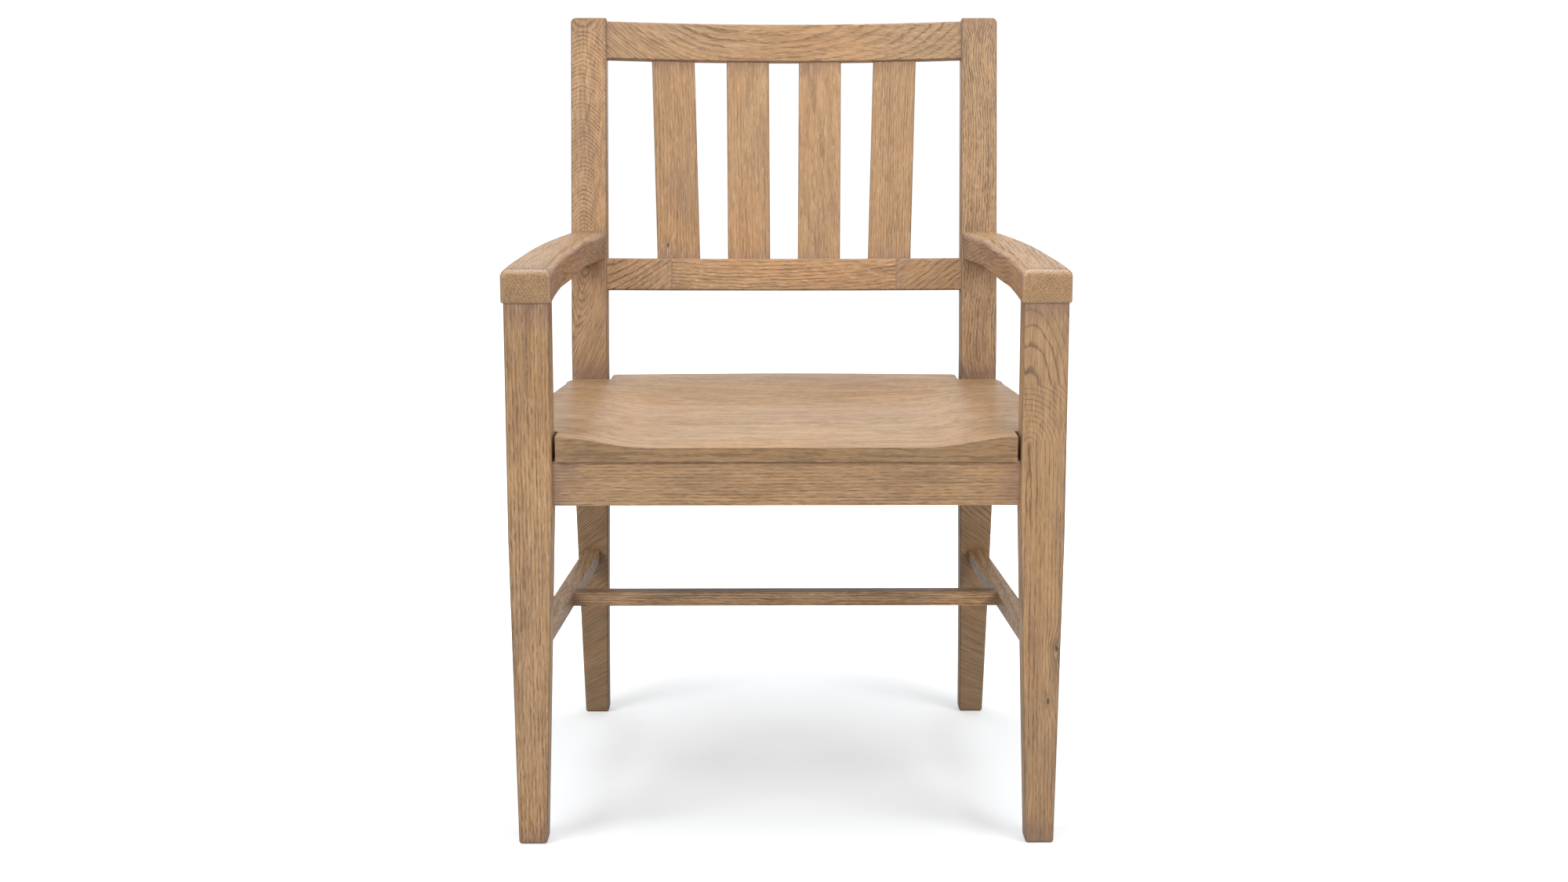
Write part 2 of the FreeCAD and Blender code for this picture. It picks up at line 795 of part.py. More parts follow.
def slat(name, low, high):
    """Right-hand slat, fanned outwards to the top and turned to follow the rails' bow."""
    body = new_body(name)
    half_width = dims.slat_width / 2
    plan = [(0, 0), (dims.slat_width, 0), (dims.slat_width, dims.slat_thickness), (0, dims.slat_thickness)]
    sketch = outline(body, name + "_plan", "XY_Plane", plan, across=-half_width)
    slope = math.radians(dims.back_rake.number)
    rail_gap = dims.crest_bottom - dims.lower_rail_bottom
    clear = rail_gap.number / math.cos(slope) - dims.lower_rail_height.number
    stub = dims.slat_stub.number
    fan = math.atan((high.number - low.number) / clear)
    pad(body, sketch, as_size(clear / math.cos(fan)) + dims.slat_stub * 2)
    round_edges(body, dims.slat_round, lambda edge: runs_along(edge, UP))
    rail_radius = arc_radius((as_size(0), as_size(0)), (post_inner * 2, as_size(0)), dims.rail_bow).number
    middle = (low.number + high.number) / 2
    turn = math.asin(middle / rail_radius)
    sag = dims.rail_bow.number - rail_radius * (1 - math.cos(turn))
    centre = dims.rail_recess.number + sag + dims.rail_thickness.number / 2
    half_thickness = Vector(0, -dims.slat_thickness.number / 2, 0)
    bottom = dims.lower_rail_bottom.number
    rail_place = Placement(
        Vector(0, post_front_at(dims.lower_rail_bottom).number - dims.front_to_centre.number, bottom),
        Rotation(Vector(-1, 0, 0), dims.back_rake.number))
    foot = Vector(low.number - stub * math.sin(fan), centre, dims.lower_rail_height.number - stub)
    spin = Rotation(UP, -math.degrees(turn))
    lean = Rotation(BACK, math.degrees(fan))
    body.Placement = rail_place.multiply(Placement(foot, lean.multiply(spin)))
    body.Placement = body.Placement.multiply(Placement(half_thickness, Rotation()))
    return body


inner_slat = slat("inner_slat_body", dims.inner_slat_low, dims.inner_slat_high)
outer_slat = slat("outer_slat_body", dims.outer_slat_low, dims.outer_slat_high)
right_slats = group("right_slats", [inner_slat, outer_slat])
all_slats = both_sides("all_slats", right_slats)
node_pair(inner_slat, "inner_slat")
node_pair(outer_slat, "outer_slat")

crest_tenons = both_sides("crest_tenons", crest_tenon)
crest_full = joined("crest_full", [crest_blank, crest_tenon, crest_tenons.Links[1]])
node(cut("crest_rail", crest_full, [all_slats]), "crest_rail")

lower_tenons = both_sides("lower_tenons", lower_tenon)
lower_full = joined("lower_full", [lower_blank, lower_tenon, lower_tenons.Links[1]])
lower_mortised = cut("lower_mortised", lower_full, [all_slats])
rail_zone_depth = dims.rail_bow * 4
rail_zone_bottom = dims.lower_rail_bottom - dims.zone_margin
rail_zone_height = dims.lower_rail_height + dims.zone_margin * 2
middle_zone = box("middle_zone", -dims.lower_rail_middle_half, dims.post_front, rail_zone_bottom,
                  dims.lower_rail_middle_half * 2, rail_zone_depth, rail_zone_height)
end_zone = box("end_zone", dims.lower_rail_middle_half, dims.post_front, rail_zone_bottom,
               post_inner - dims.lower_rail_middle_half + dims.tenon_length + dims.zone_margin,
               rail_zone_depth, rail_zone_height)
node(kept_inside("lower_rail_middle", lower_mortised, middle_zone), "lower_back_rail")
node_pair(kept_inside("lower_rail_end", lower_mortised, end_zone), "lower_rail_end_block")


# ---------------------------------------------------------------------------
# seat: four edge-glued boards with one dished top
# ---------------------------------------------------------------------------

def seat_half_blank():
    """Right half of the seat, notched round the front leg and the rear post, before dishing."""
    body = place(new_body("seat_half_blank"), up=dims.seat_underside)
    notch_side = leg_inner - dims.seat_gap
    notch_back = dims.leg_depth + dims.seat_gap
    rear_notch = dims.post_front - dims.seat_gap
    plan = [
        (0, 0), (notch_side, 0), (notch_side, notch_back),
        (dims.seat_half_front - dims.seat_front_corner, notch_back),
        (dims.seat_half_front, notch_back + dims.seat_front_corner),
        (dims.seat_half_hip, rear_notch - dims.seat_hip_inset),
        (dims.seat_half_rear - dims.seat_rear_corner, rear_notch),
        (dims.seat_half_tongue + dims.seat_rear_corner, rear_notch),
        (dims.seat_half_tongue + dims.seat_rear_corner, dims.seat_depth - dims.seat_tongue_side),
        (dims.seat_half_tongue, dims.seat_depth - dims.seat_rear_corner),
        (0, dims.seat_depth + dims.seat_tongue_crown),
    ]
    bulges = {
        4: dims.seat_side_bow, 5: dims.seat_side_bow,
        8: dims.seat_tongue_corner_bow, 9: dims.seat_tongue_rear_bow,
    }
    sketch = outline(body, "seat_plan", "XY_Plane", plan, bulges)
    pad(body, sketch, seat_thickness + dims.seat_dish)
    return body


def smooth_step(share):
    """0 below 0, 1 above 1, and a smooth S curve between."""
    share = min(max(share, 0.0), 1.0)
    return share * share * (3 - 2 * share)


def dish_cutter():
    """Everything above the dished top face, as one solid with a smooth underside."""
    half_rim, half_floor = 256.0, 150.0
    fade_start, fade_end = 270.0, 440.0
    across_count, back_count = 33, 17
    half_width, start, finish = 340.0, -40.0, 540.0
    top = dims.seat_top.number
    rows = []
    for i in range(across_count):
        across = half_width * (2 * i / (across_count - 1) - 1)
        side_share = smooth_step((half_rim - abs(across)) / (half_rim - half_floor))
        row = []
        for j in range(back_count):
            back = start + (finish - start) * j / (back_count - 1)
            back_share = smooth_step((fade_end - back) / (fade_end - fade_start))
            depth = dims.seat_dish.number * side_share * back_share
            row.append(Vector(across, back, top - depth))
        rows.append(row)
    surface = Part.BSplineSurface()
    surface.interpolate(rows)
    item = DOC.addObject("Part::Feature", "dish_cutter")
    item.Shape = surface.toShape().extrude(Vector(0, 0, seat_thickness.number * 2))
    return place(item)


seat_half = seat_half_blank()
seat_blank = joined("seat_blank", [seat_half, mirrored("seat_half_mirrored", seat_half)])
seat_dished = cut("seat_dished", seat_blank, [dish_cutter()])


# ---------------------------------------------------------------------------
# corner blocks and screws under the seat
# ---------------------------------------------------------------------------

block_bottom = dims.seat_underside - dims.block_height
apron_back = dims.apron_recess + dims.apron_thickness
side_slope = (dims.side_apron_front - dims.side_apron_rear) / (dims.post_front - dims.leg_depth)


def side_apron_inner(back):
    """Half spacing of the side aprons' inner faces at a depth."""
    return dims.side_apron_front - dims.apron_thickness - side_slope * (back - dims.leg_depth)


def front_block_blank():
    """Right front corner block: fills the corner, clear of the leg, with a diagonal face."""
    body = place(new_body("front_block_blank"), up=block_bottom)
    leg_side = leg_inner - dims.block_inset
    leg_back = dims.leg_depth + dims.block_inset
    far = apron_back + dims.block_reach
    plan = [
        (leg_side - dims.block_short_reach, apron_back), (leg_side, apron_back), (leg_side, leg_back),
        (side_apron_inner(leg_back), leg_back), (side_apron_inner(far), far),
    ]
    pad(body, outline(body, "front_block_plan", "XY_Plane", plan), dims.block_height)
    return body


def rear_block_blank():
    """Right rear corner block, clear of the post."""
    body = place(new_body("rear_block_blank"), up=block_bottom)
    post_side = post_inner - dims.block_inset
    post_gap = dims.post_front - dims.block_inset
    near = rear_apron_front - dims.block_reach
    plan = [
        (post_side - dims.block_short_reach, rear_apron_front), (side_apron_inner(near), near),
        (side_apron_inner(post_gap), post_gap), (post_side, post_gap), (post_side, rear_apron_front),
    ]
    pad(body, outline(body, "rear_block_plan", "XY_Plane", plan), dims.block_height)
    return body


def wood_screw(name, length, across, back, up, turn):
    """Countersunk wood screw whose head lies at the given point; its shank runs along turn's +Z."""
    body = new_body(name)
    head = dims.screw_head_radius
    shank = dims.screw_shank_radius
    profile = [(0, 0), (head, 0), (shank, head - shank), (shank, length - dims.screw_point), (0, length)]
    sketch = outline(body, name + "_profile", "XZ_Plane", profile)
    feature = body.newObject("PartDesign::Revolution", name + "_turned")
    feature.Profile = sketch
    feature.ReferenceAxis = (sketch, ["V_Axis"])
    feature.Angle = 360
    body.Tip = feature
    return place(body, across, back, up, turn=turn)


def access_bore(name, length, across, back, up, turn):
    """Counterbore that lets the screw's head down into the block; it runs back from the head."""
    item = DOC.addObject("Part::Cylinder", name)
    item.setExpression("Radius", dims.screw_head_radius.text)
    item.setExpression("Height", as_size(length).text)
    return place(item, across, back, up, turn=turn)


TO_FRONT = (ACROSS, 90)
TO_BACK = (ACROSS, -90)
TO_RIGHT = (BACK, 90)
TO_LEFT = (BACK, -90)
UPWARDS = (UP, 0)
DOWNWARDS = (ACROSS, 180)

front_block = front_block_blank()
rear_block = rear_block_blank()
screw_up = block_bottom + dims.block_height / 2
head_gap = dims.corner_screw_length - dims.corner_screw_bite
front_screw_across = leg_inner - dims.corner_screw_inset
front_screw_back = apron_back + dims.corner_screw_inset
rear_screw_back = rear_apron_front - dims.corner_screw_inset
rear_screw_across = post_inner - dims.corner_screw_inset
side_front_head = side_apron_inner(front_screw_back) - head_gap
side_rear_head = side_apron_inner(rear_screw_back) - head_gap

SCREW_PLACES = [
    ("front_a", front_screw_across, apron_back + head_gap, screw_up, TO_FRONT, TO_BACK),
    ("front_b", side_front_head, front_screw_back, screw_up, TO_RIGHT, TO_LEFT),
    ("rear_a", rear_screw_across, rear_apron_front - head_gap, screw_up, TO_BACK, TO_FRONT),
    ("rear_b", side_rear_head, rear_screw_back, screw_up, TO_RIGHT, TO_LEFT),
]
corner_screws = []
corner_bores = []
for tag, across, back, up, way, way_out in SCREW_PLACES:
    corner_screws.append(wood_screw("screw_" + tag, dims.corner_screw_length, across, back, up, way))
    corner_bores.append(access_bore("bore_" + tag, dims.corner_bore_length, across, back, up, way_out))

SEAT_SCREW_PLACES = [
    ("front", leg_inner - dims.front_seat_screw_across, apron_back + dims.front_seat_screw_back),
    ("rear", post_inner - dims.rear_seat_screw_across, rear_apron_front - dims.rear_seat_screw_front),
]
seat_screws = []
seat_bores = []
head_up = block_bottom + dims.seat_screw_depth
for tag, across, back in SEAT_SCREW_PLACES:
    seat_screws.append(wood_screw("seat_screw_" + tag, dims.seat_screw_length, across, back, head_up,
                                  UPWARDS))
    seat_bores.append(access_bore("seat_bore_" + tag, dims.seat_bore_length, across, back, head_up,
                                  DOWNWARDS))

node_pair(cut("front_block", front_block, [corner_screws[0], corner_screws[1], corner_bores[0],
                                           corner_bores[1], seat_screws[0], seat_bores[0]]),
          "front_corner_block")
node_pair(cut("rear_block", rear_block, [corner_screws[2], corner_screws[3], corner_bores[2],
                                         corner_bores[3], seat_screws[1], seat_bores[1]]),
          "rear_corner_block")
all_corner_screws = both_sides("corner_block_screws", group("corner_screws_right", corner_screws))
node(all_corner_screws, "corner_block_screws")
all_seat_screws = both_sides("seat_screws", group("seat_screws_right", seat_screws))
node(all_seat_screws, "seat_screws")


# ---------------------------------------------------------------------------
# finished aprons, legs, posts and seat boards, with their mortises and holes
# ---------------------------------------------------------------------------

front_apron_holes = group("front_apron_holes", [front_dowels, corner_screws[0]])
rear_apron_holes = group("rear_apron_holes", [rear_dowels, corner_screws[2]])
front_apron_tools = both_sides("front_apron_tools", front_apron_holes)
rear_apron_tools = both_sides("rear_apron_tools", rear_apron_holes)
node(cut("front_apron", front_apron, [front_apron_tools]), "front_apron")
node(cut("rear_apron", rear_apron, [rear_apron_tools]), "rear_apron")
node_pair(cut("side_apron", side_apron, [side_front_dowels, side_rear_dowels, corner_screws[1],
                                         corner_screws[3]]), "side_apron")
node(both_sides("front_apron_dowels", front_dowels), "front_apron_dowels")
node(both_sides("rear_apron_dowels", rear_dowels), "rear_apron_dowels")
node(both_sides("side_apron_dowels", group("side_dowels_right", [side_front_dowels, side_rear_dowels])),
     "side_apron_dowels")

node_pair(cut("front_leg", leg_blank, [front_dowels, side_front_dowels, front_tenon, arm_front_dowels]),
          "front_leg")
node_pair(cut("rear_post", post_blank, [rear_dowels, side_rear_dowels, rear_tenon, arm_rear_dowels,
                                        crest_tenon, lower_tenon]), "rear_post")

BOARDS = ("seat_board_front", "seat_board_middle_front", "seat_board_middle_rear", "seat_board_rear")
seat_drilled = cut("seat_drilled", seat_dished, [all_seat_screws])
for number, label in enumerate(BOARDS):
    first = dims.board_depth * number if number else -dims.zone_margin
    last_board = number == len(BOARDS) - 1
    depth = dims.board_depth * 2 if last_board else dims.board_depth * (number + 1) - first
    zone = box("zone_" + label, -dims.seat_half_front - dims.zone_margin, first,
               dims.seat_underside - dims.zone_margin,
               (dims.seat_half_front + dims.zone_margin) * 2, depth, seat_thickness * 3)
    node(kept_inside("cut_" + label, seat_drilled, zone), label)


# ---------------------------------------------------------------------------
# recompute, test and write
# ---------------------------------------------------------------------------

def fault_in(item):
    """A message where the object failed to compute, or an empty string."""
    if "Invalid" in item.State or "Error" in item.State:
        return item.Name + " failed: " + ", ".join(item.State)
    return ""


def shape_fault(item):
    shape = item.Shape
    if shape.isNull() or not shape.isValid() or not shape.Solids:
        return item.Label + " has no valid solid"
    return ""


def write_nodes():
    os.makedirs("parts", exist_ok=True)
    for item in NODES:
        item.Shape.exportStep("parts/" + item.Label + ".step")


def report_box():
    whole = FreeCAD.BoundBox()
    for item in NODES:
        whole.add(item.Shape.optimalBoundingBox())
        print("%-28s %2d solids %10.0f mm3" % (item.Label, len(item.Shape.Solids), item.Shape.Volume))
    ends = (whole.XMin, whole.XMax, whole.YMin, whole.YMax, whole.ZMin, whole.ZMax)
    print("box", [round(end, 2) for end in ends])


DOC.recompute()
faults = [fault_in(item) for item in DOC.Objects] + [shape_fault(item) for item in NODES]
faults = [fault for fault in faults if fault]
if faults:
    raise RuntimeError("; ".join(faults))
write_nodes()
report_box()
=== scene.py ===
from collections import namedtuple
import math
import random

import bpy
from mathutils import Matrix, Vector


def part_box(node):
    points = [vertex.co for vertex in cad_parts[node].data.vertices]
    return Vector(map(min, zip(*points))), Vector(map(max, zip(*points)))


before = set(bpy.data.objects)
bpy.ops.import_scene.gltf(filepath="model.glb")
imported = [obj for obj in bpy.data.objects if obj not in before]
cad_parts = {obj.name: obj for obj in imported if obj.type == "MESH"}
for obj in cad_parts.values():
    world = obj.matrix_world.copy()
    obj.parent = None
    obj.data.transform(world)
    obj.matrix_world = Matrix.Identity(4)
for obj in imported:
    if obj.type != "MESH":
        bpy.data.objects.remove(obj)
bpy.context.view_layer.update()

MM = 0.001

# ---------------------------------------------------------------- colours

WOOD_LIGHT = (0.420, 0.256, 0.128)
WOOD_DARK = (0.195, 0.110, 0.050)
YELLOW_LIGHT = (0.422, 0.250, 0.118)
SEAT_LIGHT = (0.385, 0.243, 0.125)
SEAT_DARK = (0.265, 0.155, 0.074)
STAIN = (0.165, 0.095, 0.058)
PORE = (0.112, 0.058, 0.027)
FILLER = (0.620, 0.485, 0.350)
END_GRAIN = (0.372, 0.225, 0.098)
KNOT = (0.060, 0.032, 0.018)
# pale rounded edges of the arms: partly wear, partly a painted highlight
PALE_WEAR_AND_HIGHLIGHT = (0.600, 0.425, 0.262)
DAMP_STAIN = (0.185, 0.102, 0.082)
BLOCK_LIGHT = (0.470, 0.330, 0.190)
BLOCK_DARK = (0.350, 0.235, 0.125)


def rgba(colour):
    return (*colour, 1.0)


# ---------------------------------------------------------------- node graphs

class Graph:
    """A short way to write shader nodes: each method adds one node and returns its output."""

    def __init__(self, tree):
        self.tree = tree

    def node(self, kind, **settings):
        made = self.tree.nodes.new(kind)
        for name, value in settings.items():
            setattr(made, name, value)
        return made

    def feed(self, socket, value):
        if isinstance(value, bpy.types.NodeSocket):
            self.tree.links.new(value, socket)
        elif value is not None:
            socket.default_value = value

    def math(self, operation, a, b=None, c=None):
        made = self.node("ShaderNodeMath", operation=operation)
        for socket, value in zip(made.inputs, (a, b, c)):
            self.feed(socket, value)
        return made.outputs[0]

    def total(self, *terms):
        result = terms[0]
        for term in terms[1:]:
            result = self.math("ADD", result, term)
        return result

    def times(self, *factors):
        result = factors[0]
        for factor in factors[1:]:
            result = self.math("MULTIPLY", result, factor)
        return result

    def vector(self, operation, a, b=None, scale=None):
        made = self.node("ShaderNodeVectorMath", operation=operation)
        self.feed(made.inputs[0], a)
        if b is not None:
            self.feed(made.inputs[1], b)
        if scale is not None:
            self.feed(made.inputs["Scale"], scale)
        return made.outputs["Value" if operation == "LENGTH" else "Vector"]

    def parts(self, vector):
        made = self.node("ShaderNodeSeparateXYZ")
        self.feed(made.inputs[0], vector)
        return made.outputs[0], made.outputs[1], made.outputs[2]

    def joined(self, x, y, z):
        made = self.node("ShaderNodeCombineXYZ")
        for socket, value in zip(made.inputs, (x, y, z)):
            self.feed(socket, value)
        return made.outputs[0]

    def noise(self, vector, detail, roughness, colour=False):
        made = self.node("ShaderNodeTexNoise", noise_dimensions="3D")
        self.feed(made.inputs["Vector"], vector)
        made.inputs["Scale"].default_value = 1.0
        made.inputs["Detail"].default_value = detail
        made.inputs["Roughness"].default_value = roughness
        return made.outputs["Color" if colour else "Fac"]

    def cells(self, vector):
        made = self.node("ShaderNodeTexVoronoi", voronoi_dimensions="3D", feature="F1")
        self.feed(made.inputs["Vector"], vector)
        made.inputs["Scale"].default_value = 1.0
        return made.outputs["Distance"]

    def rise(self, value, low, high, start=0.0, end=1.0):
        """Smooth step from start at low to end at high; low may be the larger number."""
        if low > high:
            low, high, start, end = high, low, end, start
        made = self.node("ShaderNodeMapRange", interpolation_type="SMOOTHSTEP")
        for name, number in (("Value", value), ("From Min", low), ("From Max", high),
                             ("To Min", start), ("To Max", end)):
            self.feed(made.inputs[name], number)
        return made.outputs["Result"]

    def mix(self, factor, a, b, blend="MIX"):
        made = self.node("ShaderNodeMix", data_type="RGBA", blend_type=blend, clamp_factor=True)
        self.feed(made.inputs["Factor"], factor)
        self.feed(made.inputs[6], a)
        self.feed(made.inputs[7], b)
        return made.outputs[2]


def stretched(graph, vector, across, along):
    """Texture space with this many features per metre across and along the grain (local Z)."""
    return graph.vector("MULTIPLY", vector, (across, across, along))


def new_material(name):
    """An empty material and the graph that fills it."""
    material = bpy.data.materials.new(name)
    material.use_nodes = True
    material.node_tree.nodes.clear()
    return material, Graph(material.node_tree)


def set_surface(graph, shader):
    output = graph.node("ShaderNodeOutputMaterial")
    graph.feed(output.inputs["Surface"], shader.outputs[0])


# ---------------------------------------------------------------- oak

# a layer of noise: its features per metre across and along the grain, then the noise's own settings
Layer = namedtuple("Layer", "across along detail roughness")
SLOW_WAVE = Layer(9, 2.2, 2, 0.5)
QUICK_WAVE = Layer(60, 32, 2, 0.6)
KNOT_RIM = Layer(700, 500, 2, 0.6)
RING_FADE = Layer(26, 12, 2, 0.5)
FIBRES = Layer(330, 19, 4, 0.66)
STREAKS = Layer(95, 5, 3, 0.55)
CHATTER = Layer(420, 120, 2, 0.6)
CLOUDS = Layer(11, 4, 2, 0.5)
PATCHES = Layer(26, 9, 3, 0.55)

# spindle-shaped cells: features per metre across and along the grain, then the distances from a cell's
# middle where it has faded out and where it is full
Cells = namedtuple("Cells", "across along edge heart")
SMALL_PORES = Cells(760, 95, 0.44, 0.26)
MIDDLE_PORES = Cells(470, 50, 0.38, 0.24)
LARGE_PORES = Cells(300, 34, 0.24, 0.13)
END_DOTS = Cells(520, 60, 0.34, 0.22)
FILLED_PORES = Cells(500, 42, 0.33, 0.18)

# pore strength: how much the early wood adds, and what there is everywhere
SMALL_STRENGTH = (0.75, 0.16)
MIDDLE_STRENGTH = (0.70, 0.30)
LARGE_STRENGTH = (0.45, 0.60)
DOT_STRENGTH = 0.85

# shifts that keep layers apart, in metres
FADE_SHIFT = (1.0, 4.0, 2.0)
MIDDLE_SHIFT = (0.31, 0.17, 0.7)
LARGE_SHIFT = (0.77, 0.41, 0.2)
DOT_SHIFT = (0.53, 0.27, 0.6)
FILLER_SHIFT = (0.13, 0.9, 0.5)
PATCH_SHIFT = (5.0, 2.0, 3.0)

# bending of the grain
SLOW_REACH = 2.2
QUICK_REACH = 2.0
LEAN_GROWTH = 3.3

# knots: how each axis counts in the distance, then in metres their reach, the push on the rings, how
# ragged the core is, and the outer and inner rims of core and halo
KNOT_STRETCH = (1.0, 0.4, 0.5)
KNOT_REACH = 0.016
KNOT_PUSH = 0.006
KNOT_RAGGED = 0.003
KNOT_CORE = (0.0024, 0.0010)
KNOT_HALO = (0.010, 0.002)
CORE_SHARE = 0.9
HALO_SHARE = 0.22

# growth rings: the largest share of early wood, where it fades and where the next ring's begins, the
# strength of the weakest ring, and how the rings come and go over the piece
EARLY_SHARE = 0.52
EARLY_FALL = (1.0, 0.1)
NEXT_RING = (0.92, 1.0)
WEAKEST_RING = 0.4
RING_FADING = (0.34, 0.60, 0.45, 1.0)

# faces, by how squarely they look along the axes of the grain frame
END_FACE = (0.55, 0.90)
SIDE_FACE = (0.55, 0.90)
ROUNDED = (0.03, 0.20)
END_FACE_FADE = 0.85    # how much of the filler, fibres and stain an end face loses

# stains, tints and wear; the edges' wear is partly a painted highlight where their colour is pale, and
# the low end's blend carries painted shade on the rear posts
END_STAIN_REACH = 0.035
STAIN_RAGGED = 0.06
SEAM = (0.0024, 0.0008)
WARM_TINT = (1.05, 0.98, 0.88, 1.0)
WARM_CLOUDS = (0.40, 0.68)
END_GRAIN_SHARE = 0.55
DARK_PATCHES = (0.50, 0.78)
PATCH_SHARE = 0.34
EDGE_WEAR_AND_HIGHLIGHT_PATCHES = (0.25, 0.60, 0.55, 1.0)
EDGE_WEAR_AND_HIGHLIGHT_SHARE = 0.55
LOW_BLEND = (-0.04, 0.04)

# weights of the layers in the wood's darkness, roughness and height
BASE_DARKNESS = 0.24
FINE_WEIGHTS = {"fibre": 2.3, "streak": 1.1, "chatter": 0.45}
BASE_ROUGHNESS = 0.47
ROUGHNESS_WEIGHTS = {"pores": 0.22, "fibre": 0.25, "edge_wear_and_highlight": -0.08, "patch": 0.10}
BASE_HEIGHT = 0.8
HEIGHT_WEIGHTS = {"pores": -0.75, "rings": -0.12, "fibre": 0.25}

# the finish
BUMP_STRENGTH = 0.55
BUMP_HEIGHT = 0.35 * MM
COAT = 0.22
COAT_ROUGHNESS = 0.32

# the group's inputs, with what a piece has unless its own looks say otherwise
OAK_INPUTS = {
    "Pith": ("NodeSocketVector", (0.06, -0.03, 0.0)),
    "Seed": ("NodeSocketVector", (0.0, 0.0, 0.0)),
    "Slope": ("NodeSocketFloat", 0.0),
    "Slope From": ("NodeSocketFloat", -10.0),
    "Slope To": ("NodeSocketFloat", 10.0),
    "Spacing": ("NodeSocketFloat", 0.0032),
    "Line": ("NodeSocketFloat", 0.0016),
    "Warp": ("NodeSocketFloat", 0.006),
    "Swirl": ("NodeSocketFloat", 0.0014),
    "Lean": ("NodeSocketFloat", 0.0),
    "Lean From": ("NodeSocketFloat", -10.0),
    "Lean To": ("NodeSocketFloat", -10.0),
    "Arch": ("NodeSocketFloat", 0.0),
    "Arch At": ("NodeSocketFloat", 0.0),
    "Arch Width": ("NodeSocketFloat", 0.05),
    "Half Length": ("NodeSocketFloat", 10.0),
    "End Stain": ("NodeSocketFloat", 0.45),
    "Band At": ("NodeSocketFloat", -10.0),
    "Band Width": ("NodeSocketFloat", 0.02),
    "Band Stain": ("NodeSocketFloat", 0.5),
    "Knot A": ("NodeSocketVector", (9.0, 9.0, 9.0)),
    "Knot B": ("NodeSocketVector", (9.0, 9.0, 9.0)),
    "Low At": ("NodeSocketFloat", -10.0),
    "Low Tone": ("NodeSocketFloat", 1.0),
    "Low Coarse": ("NodeSocketFloat", 1.0),
    # side faces: painted shade on some pieces, a tint on others
    "Side Tint": ("NodeSocketColor", (1.0, 1.0, 1.0, 1.0)),
    "Ring Contrast": ("NodeSocketFloat", 0.6),
    "Pore Contrast": ("NodeSocketFloat", 0.95),
    "Streak Contrast": ("NodeSocketFloat", 1.0),
    "Filler Contrast": ("NodeSocketFloat", 0.28),
    "Seam": ("NodeSocketFloat", 0.0),
    "Edge": ("NodeSocketFloat", 1.0),
    "Edge Colour": ("NodeSocketColor", rgba(STAIN)),
    "Tone": ("NodeSocketFloat", 1.0),
    "Light": ("NodeSocketColor", rgba(WOOD_LIGHT)),
    "Dark": ("NodeSocketColor", rgba(WOOD_DARK)),
}


def layer(g, place, kind, colour=False):
    where = stretched(g, place, kind.across, kind.along)
    return g.noise(where, kind.detail, kind.roughness, colour)


def centred(g, noise):
    return g.math("SUBTRACT", noise, 0.5)


def spindles(g, place, kind):
    """Spindle-shaped cells along the grain, 1 in their middle and 0 between them."""
    return g.rise(g.cells(stretched(g, place, kind.across, kind.along)), kind.edge, kind.heart)


def shifted(g, place, shift):
    return g.vector("ADD", place, shift)


def between(g, value, low, high):
    return g.math("MINIMUM", g.math("MAXIMUM", value, low), high)


def weighted(g, layers, weights):
    return [g.times(layers[name], weight) for name, weight in weights.items()]


def grain_bend(g, given, place, z):
    """How far a slow waviness, a quicker swirl and the leaning stretch push the grain sideways."""
    middle = (0.5, 0.5, 0.5)
    slow = g.vector("SUBTRACT", layer(g, place, SLOW_WAVE, colour=True), middle)
    quick = g.vector("SUBTRACT", layer(g, place, QUICK_WAVE, colour=True), middle)
    bent = g.vector("ADD", g.vector("SCALE", slow, scale=g.times(given["Warp"], SLOW_REACH)),
                    g.vector("SCALE", quick, scale=g.times(given["Swirl"], QUICK_REACH)))
    bend_x, bend_y, _ = g.parts(bent)
    # in the leaning stretch the whole grain slants, more and more towards its far end
    leaning = between(g, z, given["Lean From"], given["Lean To"])
    leaning = g.math("SUBTRACT", leaning, given["Lean To"])
    bend_x = g.math("SUBTRACT", bend_x, g.times(leaning, leaning, given["Lean"], LEAN_GROWTH))
    return bend_x, bend_y


def knot_distance(g, grain, centre):
    """Distance to a knot that is longer along the grain and into the wood than across its face."""
    away = g.vector("SUBTRACT", grain, centre)
    return g.vector("LENGTH", g.vector("MULTIPLY", away, KNOT_STRETCH))


def knots(g, given, grain, place):
    """The knots' push on the rings, their dark core and the halo around it."""
    gap = g.math("MINIMUM", knot_distance(g, grain, given["Knot A"]),
                 knot_distance(g, grain, given["Knot B"]))
    push = g.times(g.rise(gap, KNOT_REACH, 0.0), KNOT_PUSH)
    ragged = g.times(centred(g, layer(g, place, KNOT_RIM)), KNOT_RAGGED)
    core = g.rise(g.total(gap, ragged), *KNOT_CORE)
    return push, core, g.rise(gap, *KNOT_HALO)


